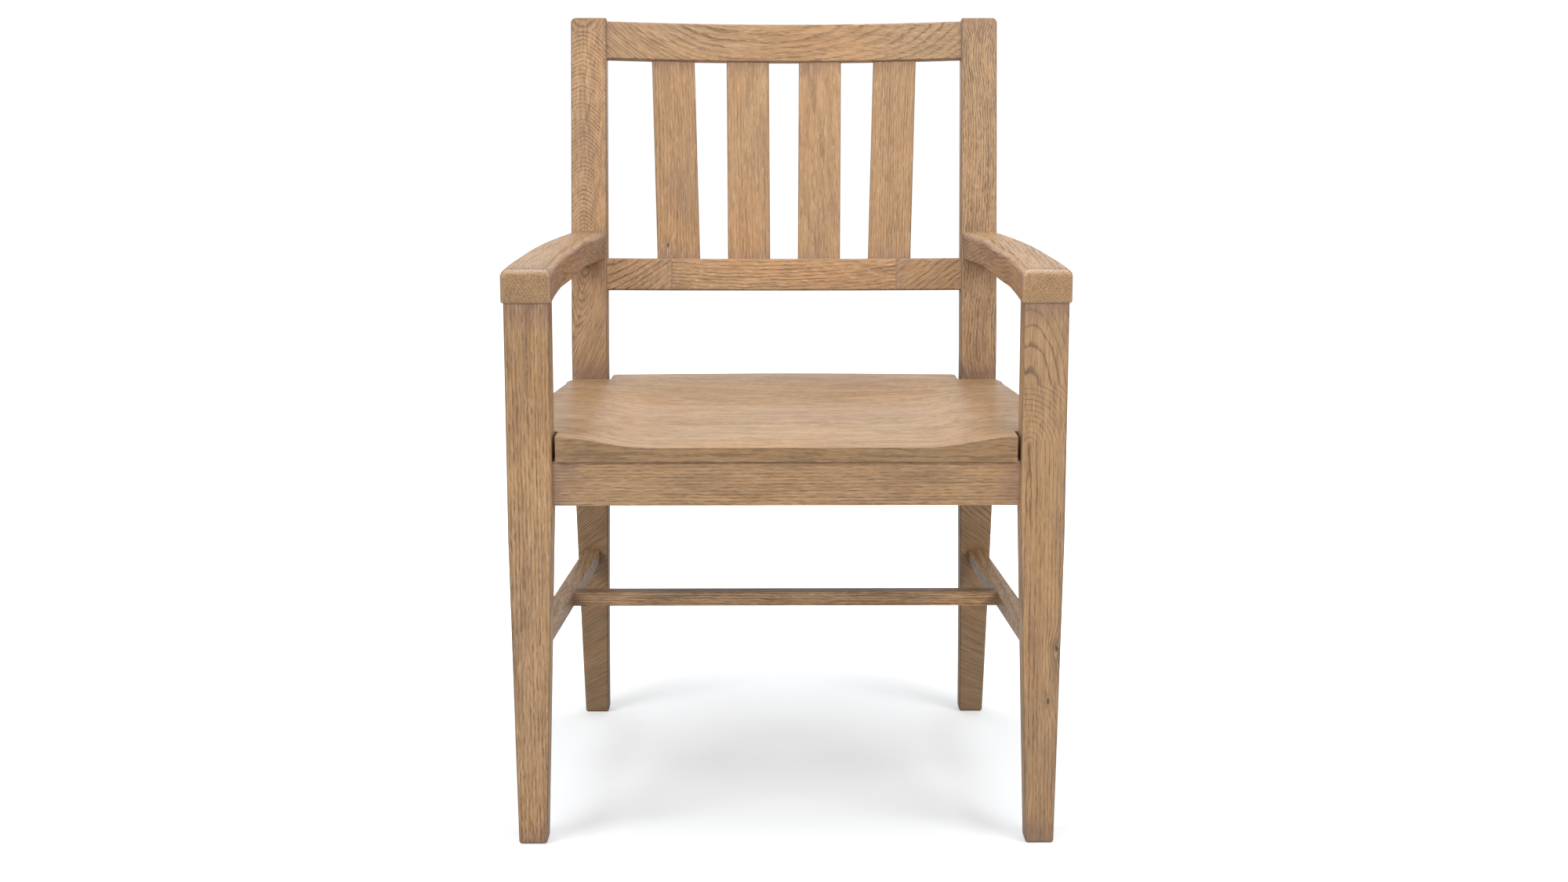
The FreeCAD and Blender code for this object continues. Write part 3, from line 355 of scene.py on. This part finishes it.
def growth_rings(g, given, place, axes, bend, knot_push):
    """Early wood of the growth rings around a sloping pith line, 1 where it is darkest."""
    x, y, z = axes
    bend_x, bend_y = bend
    pith_x, pith_y, _ = g.parts(given["Pith"])
    from_pith_x = g.math("SUBTRACT", g.total(x, bend_x), pith_x)
    sloped = between(g, z, given["Slope From"], given["Slope To"])
    from_pith_y = g.math("SUBTRACT", g.total(y, bend_y, g.times(sloped, given["Slope"])), pith_y)
    radius = g.vector("LENGTH", g.joined(from_pith_x, from_pith_y, 0.0))
    # an arch is a bump in the rings' radius at one height
    arch_place = g.math("DIVIDE", g.math("SUBTRACT", z, given["Arch At"]), given["Arch Width"])
    arch_fall = g.total(1.0, g.math("POWER", g.math("ABSOLUTE", arch_place), 2.0))
    arch = g.math("DIVIDE", given["Arch"], arch_fall)
    low = g.math("LESS_THAN", z, given["Low At"])
    coarser = g.times(low, g.math("SUBTRACT", given["Low Coarse"], 1.0))
    spacing = g.times(given["Spacing"], g.total(1.0, coarser))
    phase = g.math("DIVIDE", g.total(radius, arch, knot_push), spacing)
    inside_ring = g.math("FRACT", phase)

    ring_noise = g.node("ShaderNodeTexWhiteNoise", noise_dimensions="1D")
    g.feed(ring_noise.inputs["W"], g.math("FLOOR", phase))
    strength = g.math("MULTIPLY_ADD", ring_noise.outputs["Value"], 1.0 - WEAKEST_RING, WEAKEST_RING)
    fading = g.rise(layer(g, shifted(g, place, FADE_SHIFT), RING_FADE), *RING_FADING)
    widest = g.math("MINIMUM", g.times(spacing, EARLY_SHARE), given["Line"])
    early_width = g.math("DIVIDE", widest, spacing)
    early = g.math("MAXIMUM", g.rise(g.math("DIVIDE", inside_ring, early_width), *EARLY_FALL),
                   g.rise(inside_ring, *NEXT_RING))
    return g.times(early, strength, fading)


def open_pores(g, place, rings, end_face):
    """Pores of three sizes, most of them in the rings' early wood, and dots on the end grain."""
    small = spindles(g, place, SMALL_PORES)
    middle = spindles(g, shifted(g, place, MIDDLE_SHIFT), MIDDLE_PORES)
    large = spindles(g, shifted(g, place, LARGE_SHIFT), LARGE_PORES)
    pores = [g.times(size, g.math("MULTIPLY_ADD", rings, *strength)) for size, strength in
             ((small, SMALL_STRENGTH), (middle, MIDDLE_STRENGTH), (large, LARGE_STRENGTH))]
    pores = g.math("MAXIMUM", pores[0], g.math("MAXIMUM", pores[1], pores[2]))
    dots = spindles(g, shifted(g, place, DOT_SHIFT), END_DOTS)
    return g.math("MAXIMUM", pores, g.times(dots, end_face, DOT_STRENGTH))


def damp_share(g, given, z, patch, along_face):
    """How strong the damp stain is: near the ends, in a band across the piece and at a glue seam."""
    from_end = g.math("SUBTRACT", given["Half Length"], g.math("ABSOLUTE", z))
    unevenness = g.times(centred(g, patch), STAIN_RAGGED)
    near_end = g.rise(g.total(from_end, unevenness), END_STAIN_REACH, 0.0)
    from_band = g.math("ABSOLUTE", g.math("SUBTRACT", z, given["Band At"]))
    band_share = g.math("DIVIDE", g.total(from_band, unevenness), given["Band Width"])
    in_band = g.rise(band_share, 1.0, 0.0)
    stained = g.math("MAXIMUM", g.times(near_end, along_face, given["End Stain"]),
                     g.times(in_band, given["Band Stain"]))
    return g.math("MAXIMUM", stained, g.times(g.rise(from_end, *SEAM), given["Seam"]))


def oak_group():
    """Solid oak texture: growth rings around a pith line, pore dashes, fibres, stains and edges, with
    painted shade and highlight where a piece asks for them.
    """
    tree = bpy.data.node_groups.new("oak", "ShaderNodeTree")
    for name in ("Grain", "Facing"):
        tree.interface.new_socket(name=name, in_out="INPUT", socket_type="NodeSocketVector")
    for name, (kind, value) in OAK_INPUTS.items():
        tree.interface.new_socket(name=name, in_out="INPUT", socket_type=kind).default_value = value
    for name, kind in (("Colour", "NodeSocketColor"), ("Roughness", "NodeSocketFloat"),
                       ("Height", "NodeSocketFloat")):
        tree.interface.new_socket(name=name, in_out="OUTPUT", socket_type=kind)
    g = Graph(tree)
    given = g.node("NodeGroupInput").outputs
    result = g.node("NodeGroupOutput").inputs

    grain = given["Grain"]
    place = g.vector("ADD", grain, given["Seed"])
    x, y, z = g.parts(grain)
    facing_x, facing_y, facing_z = g.parts(g.vector("ABSOLUTE", given["Facing"]))
    end_face = g.rise(facing_z, *END_FACE)
    along_face = g.math("SUBTRACT", 1.0, g.times(end_face, END_FACE_FADE))

    # rings, pores and fibres all follow the bent grain
    bend_x, bend_y = grain_bend(g, given, place, z)
    place = g.vector("ADD", place, g.joined(bend_x, bend_y, 0.0))
    knot_push, knot_core, knot_halo = knots(g, given, grain, place)
    rings = growth_rings(g, given, place, (x, y, z), (bend_x, bend_y), knot_push)
    pores = open_pores(g, place, rings, end_face)
    filler = g.times(spindles(g, shifted(g, place, FILLER_SHIFT), FILLED_PORES), along_face)
    cloud = layer(g, place, CLOUDS)
    patch = layer(g, shifted(g, place, PATCH_SHIFT), PATCHES)
    layers = {
        "rings": rings,
        "pores": pores,
        "fibre": g.times(centred(g, layer(g, place, FIBRES)), along_face),
        "streak": centred(g, layer(g, place, STREAKS)),
        "chatter": g.times(centred(g, layer(g, place, CHATTER)), along_face),
        "patch": patch,
    }

    # the wood's own colour, then stains, filler, pores and knots over it
    fine = g.total(*weighted(g, layers, FINE_WEIGHTS))
    darkness = g.total(g.times(rings, given["Ring Contrast"]), g.times(fine, given["Streak Contrast"]),
                       BASE_DARKNESS)
    colour = g.mix(darkness, given["Light"], given["Dark"])
    warm = g.mix(1.0, colour, WARM_TINT, "MULTIPLY")
    colour = g.mix(g.rise(cloud, *WARM_CLOUDS), colour, warm)
    colour = g.mix(g.times(end_face, END_GRAIN_SHARE), colour, rgba(END_GRAIN))
    colour = g.mix(g.times(g.rise(patch, *DARK_PATCHES), PATCH_SHARE), colour, rgba(STAIN))
    colour = g.mix(damp_share(g, given, z, patch, along_face), colour, rgba(DAMP_STAIN))
    pale = g.math("MAXIMUM", g.times(filler, given["Filler Contrast"]), g.times(filler, knot_halo))
    colour = g.mix(pale, colour, rgba(FILLER))
    colour = g.mix(g.times(pores, given["Pore Contrast"]), colour, rgba(PORE))
    knot = g.math("MAXIMUM", g.times(knot_core, CORE_SHARE), g.times(knot_halo, HALO_SHARE))
    colour = g.mix(knot, colour, rgba(KNOT))

    # rounded edges turn towards Edge Colour with wear, partly a painted highlight where that colour is
    # pale
    flat = g.math("MAXIMUM", facing_x, g.math("MAXIMUM", facing_y, facing_z))
    rounded = g.rise(g.math("SUBTRACT", 1.0, flat), *ROUNDED)
    layers["edge_wear_and_highlight"] = g.times(rounded, given["Edge"], g.rise(patch, *EDGE_WEAR_AND_HIGHLIGHT_PATCHES))
    colour = g.mix(g.times(layers["edge_wear_and_highlight"], EDGE_WEAR_AND_HIGHLIGHT_SHARE), colour, given["Edge Colour"])
    # painted shade on the side faces of some pieces, a tint on others
    side_shaded = g.mix(1.0, colour, given["Side Tint"], "MULTIPLY")
    colour = g.mix(g.rise(facing_x, *SIDE_FACE), colour, side_shaded)
    # a brightness factor below Low At: painted shade under the seat on the rear posts
    above_low = g.rise(g.math("SUBTRACT", z, given["Low At"]), *LOW_BLEND)
    low_tone = g.math("MULTIPLY_ADD", above_low, g.math("SUBTRACT", 1.0, given["Low Tone"]),
                      given["Low Tone"])
    colour = g.vector("SCALE", colour, scale=g.times(given["Tone"], low_tone))

    g.feed(result["Colour"], colour)
    g.feed(result["Roughness"], g.total(BASE_ROUGHNESS, *weighted(g, layers, ROUGHNESS_WEIGHTS)))
    g.feed(result["Height"], g.total(BASE_HEIGHT, *weighted(g, layers, HEIGHT_WEIGHTS)))
    return tree


OAK = oak_group()
DRAW = random.Random(20)
SEED_REACH = 3


def grain_frame(centre, grain, face):
    """Euler angles and place of a frame at centre with Z along the grain and Y out of the face."""
    along = Vector(grain).normalized()
    across = Vector(face).cross(along).normalized()
    out = along.cross(across)
    turned = Matrix((across, out, along)).transposed()
    return Vector(centre), turned.to_euler()


def oak_material(name, node_names, grain, face, **looks):
    """An oak material for these CAD nodes, in a frame at their common centre."""
    low = Vector([min(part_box(n)[0][i] for n in node_names) for i in range(3)])
    high = Vector([max(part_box(n)[1][i] for n in node_names) for i in range(3)])
    centre, turn = grain_frame((low + high) / 2, grain, face)
    reach = abs(Vector(grain).normalized().dot(high - low)) / 2
    material, g = new_material(name)
    coordinates = g.node("ShaderNodeTexCoord")
    placed = g.node("ShaderNodeMapping", vector_type="TEXTURE")
    g.feed(placed.inputs["Vector"], coordinates.outputs["Object"])
    placed.inputs["Location"].default_value = centre
    placed.inputs["Rotation"].default_value = turn
    facing = g.node("ShaderNodeMapping", vector_type="TEXTURE")
    g.feed(facing.inputs["Vector"], coordinates.outputs["Normal"])
    facing.inputs["Rotation"].default_value = turn
    oak = g.node("ShaderNodeGroup", node_tree=OAK)
    g.feed(oak.inputs["Grain"], placed.outputs[0])
    g.feed(oak.inputs["Facing"], facing.outputs[0])
    oak.inputs["Seed"].default_value = [DRAW.uniform(-SEED_REACH, SEED_REACH) for _ in range(3)]
    oak.inputs["Half Length"].default_value = reach
    for key, value in looks.items():
        oak.inputs[key.replace("_", " ")].default_value = value
    bump = g.node("ShaderNodeBump")
    bump.inputs["Strength"].default_value = BUMP_STRENGTH
    bump.inputs["Distance"].default_value = BUMP_HEIGHT
    g.feed(bump.inputs["Height"], oak.outputs["Height"])
    shader = g.node("ShaderNodeBsdfPrincipled")
    g.feed(shader.inputs["Base Color"], oak.outputs["Colour"])
    g.feed(shader.inputs["Roughness"], oak.outputs["Roughness"])
    g.feed(shader.inputs["Normal"], bump.outputs[0])
    shader.inputs["Coat Weight"].default_value = COAT
    shader.inputs["Coat Roughness"].default_value = COAT_ROUGHNESS
    set_surface(g, shader)
    return material


def dress(node_name, material):
    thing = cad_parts[node_name]
    thing.data.materials.clear()
    thing.data.materials.append(material)


ACROSS = (1, 0, 0)
BACK = (0, 1, 0)
FRONT = (0, -1, 0)
UP = (0, 0, 1)
RIGHT = (1, 0, 0)
LEFT = (-1, 0, 0)

# each piece: grain direction, its best-seen face, then what differs from the group's own numbers
OAK_PIECES = {
    "left_front_leg": (UP, FRONT, dict(
        Light=rgba(YELLOW_LIGHT), Tone=0.84, Low_At=0.15, Low_Tone=1.17, Pith=(0.1, -0.05, 0),
        Spacing=0.0034, Warp=0.0035, Swirl=0.0008)),
    "right_front_leg": (UP, FRONT, dict(
        Light=rgba(YELLOW_LIGHT), Tone=0.91, Pith=(0.015, 0.102, 0), Slope=0.62, Slope_From=0.152,
        Slope_To=0.215, Arch=0.021, Arch_At=0.32, Arch_Width=0.06, Spacing=0.004, Line=0.001,
        Ring_Contrast=0.95, Warp=0.003, Swirl=0.001, Pore_Contrast=0.7, Filler_Contrast=0.16,
        Knot_A=(-0.0184, 0.015, -0.079), Knot_B=(-0.01, 0.015, -0.139))),
    # darker below Low At: painted shade under the seat
    "left_rear_post": (UP, FRONT, dict(
        Tone=0.99, Pith=(0.006, 0.052, 0), Slope=0.35, Slope_From=0.14, Slope_To=0.45, Spacing=0.00125,
        Line=0.0026, Warp=0.003, Swirl=0.0008, Ring_Contrast=1.1, Pore_Contrast=0.6,
        Filler_Contrast=0.2, Lean=0.55, Lean_From=-0.5, Lean_To=0.14, Band_At=0.002, Band_Width=0.024,
        End_Stain=0.25, Low_At=-0.016, Low_Tone=0.84, Low_Coarse=4.0)),
    # darker below Low At: painted shade under the seat
    "right_rear_post": (UP, FRONT, dict(
        Tone=0.96, Pith=(0.08, -0.04, 0), Slope=0.02, Spacing=0.003, Lean=-0.75, Lean_From=-0.5,
        Lean_To=0.05, Ring_Contrast=0.9, Arch=0.02, Arch_At=0.42, Arch_Width=0.06, Band_At=0.003,
        Band_Width=0.028, Band_Stain=0.8, End_Stain=0.25, Low_At=-0.016, Low_Tone=0.85,
        Low_Coarse=2.0)),
    # pale rounded edges (Edge Colour): partly wear, partly a painted highlight
    "left_arm": (BACK, UP, dict(
        Light=rgba(YELLOW_LIGHT), Tone=0.86, Pith=(0.08, -0.05, 0), Slope=0.01, Ring_Contrast=0.75,
        Edge=0.6, Edge_Colour=rgba(PALE_WEAR_AND_HIGHLIGHT), Side_Tint=(1.03, 0.97, 1.0, 1))),
    # pale rounded edges here too: partly wear, partly a painted highlight
    "right_arm": (BACK, UP, dict(
        Tone=0.96, Pith=(-0.07, -0.07, 0), Ring_Contrast=1.1, Warp=0.005, Edge=0.6,
        Edge_Colour=rgba(PALE_WEAR_AND_HIGHLIGHT), Side_Tint=(1.02, 0.98, 0.98, 1))),
    "crest_rail": (ACROSS, FRONT, dict(
        Tone=0.955, Pith=(0.03, -0.09, 0), Slope=0.03, Spacing=0.0036, Lean=0.7, Lean_From=-0.3,
        Lean_To=-0.06, Ring_Contrast=0.75, Pore_Contrast=0.8, Streak_Contrast=0.85, Edge=0.8)),
    "lower_back_rail": (ACROSS, FRONT, dict(
        Light=rgba(YELLOW_LIGHT), Tone=1.08, Pith=(0.07, -0.06, 0), Slope=0.03, Spacing=0.0038,
        Ring_Contrast=0.95, End_Stain=0.08, Seam=0.7)),
    "left_lower_rail_end_block": ((1, 0, 0.85), FRONT, dict(
        Tone=1.0, Pith=(0.05, -0.05, 0), Slope=0.06, Spacing=0.005, Ring_Contrast=1.15, End_Stain=0.2)),
    "right_lower_rail_end_block": ((1, 0, 0.55), FRONT, dict(
        Tone=0.92, Pith=(0.05, -0.05, 0), Slope=0.06, Spacing=0.0052, Ring_Contrast=0.9,
        End_Stain=0.2)),
    "left_outer_slat": ((-0.02, 0.12, 1), FRONT, dict(
        Light=rgba(YELLOW_LIGHT), Tone=0.95, Pith=(0.12, -0.06, 0), Ring_Contrast=0.45,
        Pore_Contrast=0.6, Streak_Contrast=0.8, Knot_A=(0.0125, 0.006, -0.112))),
    "left_inner_slat": ((0, 0.12, 1), FRONT, dict(
        Light=rgba(YELLOW_LIGHT), Tone=1.0, Pith=(-0.1, -0.08, 0), Ring_Contrast=0.4, Pore_Contrast=0.5,
        Streak_Contrast=0.8)),
    "right_inner_slat": ((0, 0.12, 1), FRONT, dict(
        Light=rgba(YELLOW_LIGHT), Tone=1.035, Pith=(0.02, -0.12, 0), Slope=0.03, Ring_Contrast=0.4,
        Pore_Contrast=0.5, Streak_Contrast=0.8)),
    "right_outer_slat": ((0.02, 0.12, 1), FRONT, dict(
        Light=rgba(YELLOW_LIGHT), Tone=0.985, Pith=(0.11, -0.05, 0), Ring_Contrast=0.45,
        Pore_Contrast=0.6, Streak_Contrast=0.8)),
    "left_side_stretcher": (BACK, RIGHT, dict(
        Tone=0.92, Pith=(0.09, -0.03, 0), Ring_Contrast=1.0, Filler_Contrast=0.45)),
    "right_side_stretcher": (BACK, LEFT, dict(
        Tone=0.92, Pith=(0.09, -0.03, 0), Ring_Contrast=1.0, Filler_Contrast=0.45)),
    # its top and bottom faces darker: painted shade under the seat
    "cross_stretcher": (ACROSS, FRONT, dict(
        Tone=1.18, Ring_Contrast=1.0, Streak_Contrast=1.5, Side_Tint=(0.55, 0.5, 0.44, 1),
        Pith=(0.1, -0.03, 0))),
    "front_apron": (ACROSS, FRONT, dict(
        Light=rgba(YELLOW_LIGHT), Tone=0.88, Pith=(0.12, -0.07, 0), Slope=0.01, Warp=0.003,
        Swirl=0.0006, Pore_Contrast=0.8, Streak_Contrast=0.8)),
    "rear_apron": (ACROSS, BACK, dict(Pith=(0.1, -0.06, 0))),
    "left_side_apron": (BACK, LEFT, dict(Pith=(0.1, -0.06, 0))),
    "right_side_apron": (BACK, RIGHT, dict(Pith=(0.1, -0.06, 0))),
}
for node_name, (grain, face, looks) in OAK_PIECES.items():
    dress(node_name, oak_material("oak_" + node_name, [node_name], grain, face, **looks))

SEAT_LOOKS = dict(
    Light=rgba(SEAT_LIGHT), Dark=rgba(SEAT_DARK), Pore_Contrast=0.5, Ring_Contrast=0.62,
    Streak_Contrast=3.3, Spacing=0.006, Line=0.004, Warp=0.01, Swirl=0.0022, End_Stain=0.15, Edge=0.4)
SEAT_BOARDS = {
    # its front face darker: painted shade
    "seat_board_front": dict(Pith=(0.02, -0.10, 0), Slope=0.02, Side_Tint=(0.70, 0.655, 0.58, 1)),
    "seat_board_middle_front": dict(Pith=(-0.03, -0.09, 0), Slope=-0.02),
    "seat_board_middle_rear": dict(Pith=(0.04, -0.12, 0), Slope=0.03),
    "seat_board_rear": dict(Pith=(0.10, -0.07, 0), Slope=-0.01),
}
for node_name, looks in SEAT_BOARDS.items():
    looks = {**SEAT_LOOKS, **looks}
    dress(node_name, oak_material("oak_" + node_name, [node_name], ACROSS, UP, **looks))

BLOCK_LOOKS = dict(Light=rgba(BLOCK_LIGHT), Dark=rgba(BLOCK_DARK), Pore_Contrast=0.4)
for side in ("left", "right"):
    for end in ("front", "rear"):
        node_name = f"{side}_{end}_corner_block"
        dress(node_name, oak_material("block_" + node_name, [node_name], UP, FRONT,
                                      Pith=(0.06, -0.05, 0), **BLOCK_LOOKS))
DOWELS = {
    "front_apron_dowels": (ACROSS, FRONT),
    "rear_apron_dowels": (ACROSS, FRONT),
    "side_apron_dowels": (BACK, UP),
    "arm_dowels": (UP, FRONT),
}
for node_name, (grain, face) in DOWELS.items():
    dress(node_name, oak_material("wood_" + node_name, [node_name], grain, face,
                                  Pith=(0.05, -0.05, 0), **BLOCK_LOOKS))


# ---------------------------------------------------------------- steel

STEEL_DARK = (0.42, 0.41, 0.39)
STEEL_BRIGHT = (0.60, 0.59, 0.56)
TURNED_MARKS = 1400.0    # features per metre
ZINC_FILM = 160.0
MARK_STRENGTH = 0.3
MARK_HEIGHT = 0.05 * MM
MARK_ROUGHNESS = (0.2, 0.8, 0.28, 0.5)


def steel_material():
    """Zinc-plated steel with fine turned marks."""
    material, g = new_material("screw_steel")
    coordinates = g.node("ShaderNodeTexCoord").outputs["Object"]
    marks = g.noise(g.vector("SCALE", coordinates, scale=TURNED_MARKS), 3, 0.6)
    film = g.noise(g.vector("SCALE", coordinates, scale=ZINC_FILM), 2, 0.5)
    bump = g.node("ShaderNodeBump")
    bump.inputs["Strength"].default_value = MARK_STRENGTH
    bump.inputs["Distance"].default_value = MARK_HEIGHT
    g.feed(bump.inputs["Height"], marks)
    shader = g.node("ShaderNodeBsdfPrincipled")
    shader.inputs["Metallic"].default_value = 1.0
    g.feed(shader.inputs["Base Color"], g.mix(film, rgba(STEEL_DARK), rgba(STEEL_BRIGHT)))
    g.feed(shader.inputs["Roughness"], g.rise(marks, *MARK_ROUGHNESS))
    g.feed(shader.inputs["Normal"], bump.outputs[0])
    set_surface(g, shader)
    return material


STEEL = steel_material()
for node_name in ("corner_block_screws", "seat_screws"):
    dress(node_name, STEEL)


# ---------------------------------------------------------------- floor, light and camera

WHITE = (1.0, 1.0, 1.0)
FLOOR_GREY = (0.58, 0.60, 0.62)
FLOOR_ROUGHNESS = 0.9
FLOOR_SPECULAR = 0.1
FLOOR_REACH = 30.0
FLOOR_DROP = 0.2 * MM

# the floor's glow, which only the camera sees: this weak within the first distance, full past the
# second, so the floor near the chair is darker, a painted shadow added to the real one
FLOOR_GLOW = 0.40
GLOW_RISE = (0.30, 0.80)

WORLD_LIGHT = 0.02
WORLD_SEEN = 1.02
BACKDROP_LIGHT = 1.33
BACKDROP_BEHIND = (0.2, 0.8)
BACKDROP_HEIGHT = (0.55, 0.15)

# name, place, what it points at, width, height and power in watts
SOFTBOXES = (
    ("left_softbox", (-2.4, -2.2, 2.2), (0, 0, 0.5), 1.8, 1.8, 83),
    ("right_softbox", (2.4, -2.2, 2.2), (0, 0, 0.5), 1.8, 1.8, 78),
    ("top_softbox", (0, 0.3, 3.2), (0, 0, 0.5), 2.4, 2.4, 89),
    ("front_softbox", (0, -2.4, 3.0), (0, 0, 0.5), 2.0, 1.6, 18),
    ("fill_softbox", (0, -3.2, 1.4), (0, 0, 0.6), 2.4, 1.6, 15),
)

SENSOR_WIDTH = 36.0
LENS = 42.3
LENS_SHIFT = -0.045
FARTHEST_SEEN = 100
CAMERA_SIDE = -0.0142
CAMERA_DISTANCE = 1.967
CAMERA_HEIGHT = 0.815
CAMERA_DOWN = 8.09
CAMERA_TURN = -0.332


def floor_material():
    material, g = new_material("floor_paint")
    shader = g.node("ShaderNodeBsdfPrincipled")
    shader.inputs["Base Color"].default_value = rgba(FLOOR_GREY)
    shader.inputs["Roughness"].default_value = FLOOR_ROUGHNESS
    shader.inputs["Specular IOR Level"].default_value = FLOOR_SPECULAR
    shader.inputs["Emission Color"].default_value = rgba(WHITE)
    seen = g.node("ShaderNodeLightPath").outputs["Is Camera Ray"]
    distance = g.vector("LENGTH", g.node("ShaderNodeTexCoord").outputs["Object"])
    # weaker glow near the chair: a painted shadow
    glow = g.rise(distance, *GLOW_RISE, FLOOR_GLOW, 1.0)
    g.feed(shader.inputs["Emission Strength"], g.times(seen, glow))
    set_surface(g, shader)
    return material


def add_floor():
    mesh = bpy.data.meshes.new("floor")
    corners = [(-FLOOR_REACH, -FLOOR_REACH, 0), (FLOOR_REACH, -FLOOR_REACH, 0),
               (FLOOR_REACH, FLOOR_REACH, 0), (-FLOOR_REACH, FLOOR_REACH, 0)]
    mesh.from_pydata(corners, [], [(0, 1, 2, 3)])
    floor = bpy.data.objects.new("floor", mesh)
    floor.location.z = -FLOOR_DROP
    bpy.context.scene.collection.objects.link(floor)
    mesh.materials.append(floor_material())


def add_softbox(name, place, target, width, height, watts):
    data = bpy.data.lights.new(name, "AREA")
    data.shape = "RECTANGLE"
    data.size = width
    data.size_y = height
    data.energy = watts
    lamp = bpy.data.objects.new(name, data)
    lamp.location = place
    lamp.rotation_euler = (Vector(target) - Vector(place)).to_track_quat("-Z", "Y").to_euler()
    bpy.context.scene.collection.objects.link(lamp)


def add_world():
    """White where the camera sees it, and lighting the chair mostly from low behind it."""
    world = bpy.data.worlds.new("studio")
    bpy.context.scene.world = world
    world.use_nodes = True
    g = Graph(world.node_tree)
    seen = g.node("ShaderNodeLightPath").outputs["Is Camera Ray"]
    background = world.node_tree.nodes["Background"]
    background.inputs["Color"].default_value = rgba(WHITE)
    _, behind, height = g.parts(g.node("ShaderNodeTexCoord").outputs["Generated"])
    backdrop = g.times(g.rise(behind, *BACKDROP_BEHIND), g.rise(height, *BACKDROP_HEIGHT),
                       BACKDROP_LIGHT)
    lighting = g.total(WORLD_LIGHT, backdrop)
    g.feed(background.inputs["Strength"], g.rise(seen, 0.0, 1.0, lighting, WORLD_SEEN))


def add_camera():
    data = bpy.data.cameras.new("camera")
    data.sensor_width = SENSOR_WIDTH
    data.lens = LENS
    data.shift_y = LENS_SHIFT
    data.clip_end = FARTHEST_SEEN
    camera = bpy.data.objects.new("camera", data)
    leg_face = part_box("left_front_leg")[0].y
    camera.location = (CAMERA_SIDE, leg_face - CAMERA_DISTANCE, CAMERA_HEIGHT)
    camera.rotation_euler = (math.radians(90 - CAMERA_DOWN), 0, math.radians(CAMERA_TURN))
    bpy.context.scene.collection.objects.link(camera)
    bpy.context.scene.camera = camera


add_floor()
add_world()
for softbox in SOFTBOXES:
    add_softbox(*softbox)
add_camera()
bpy.context.scene.view_settings.view_transform = "Standard"
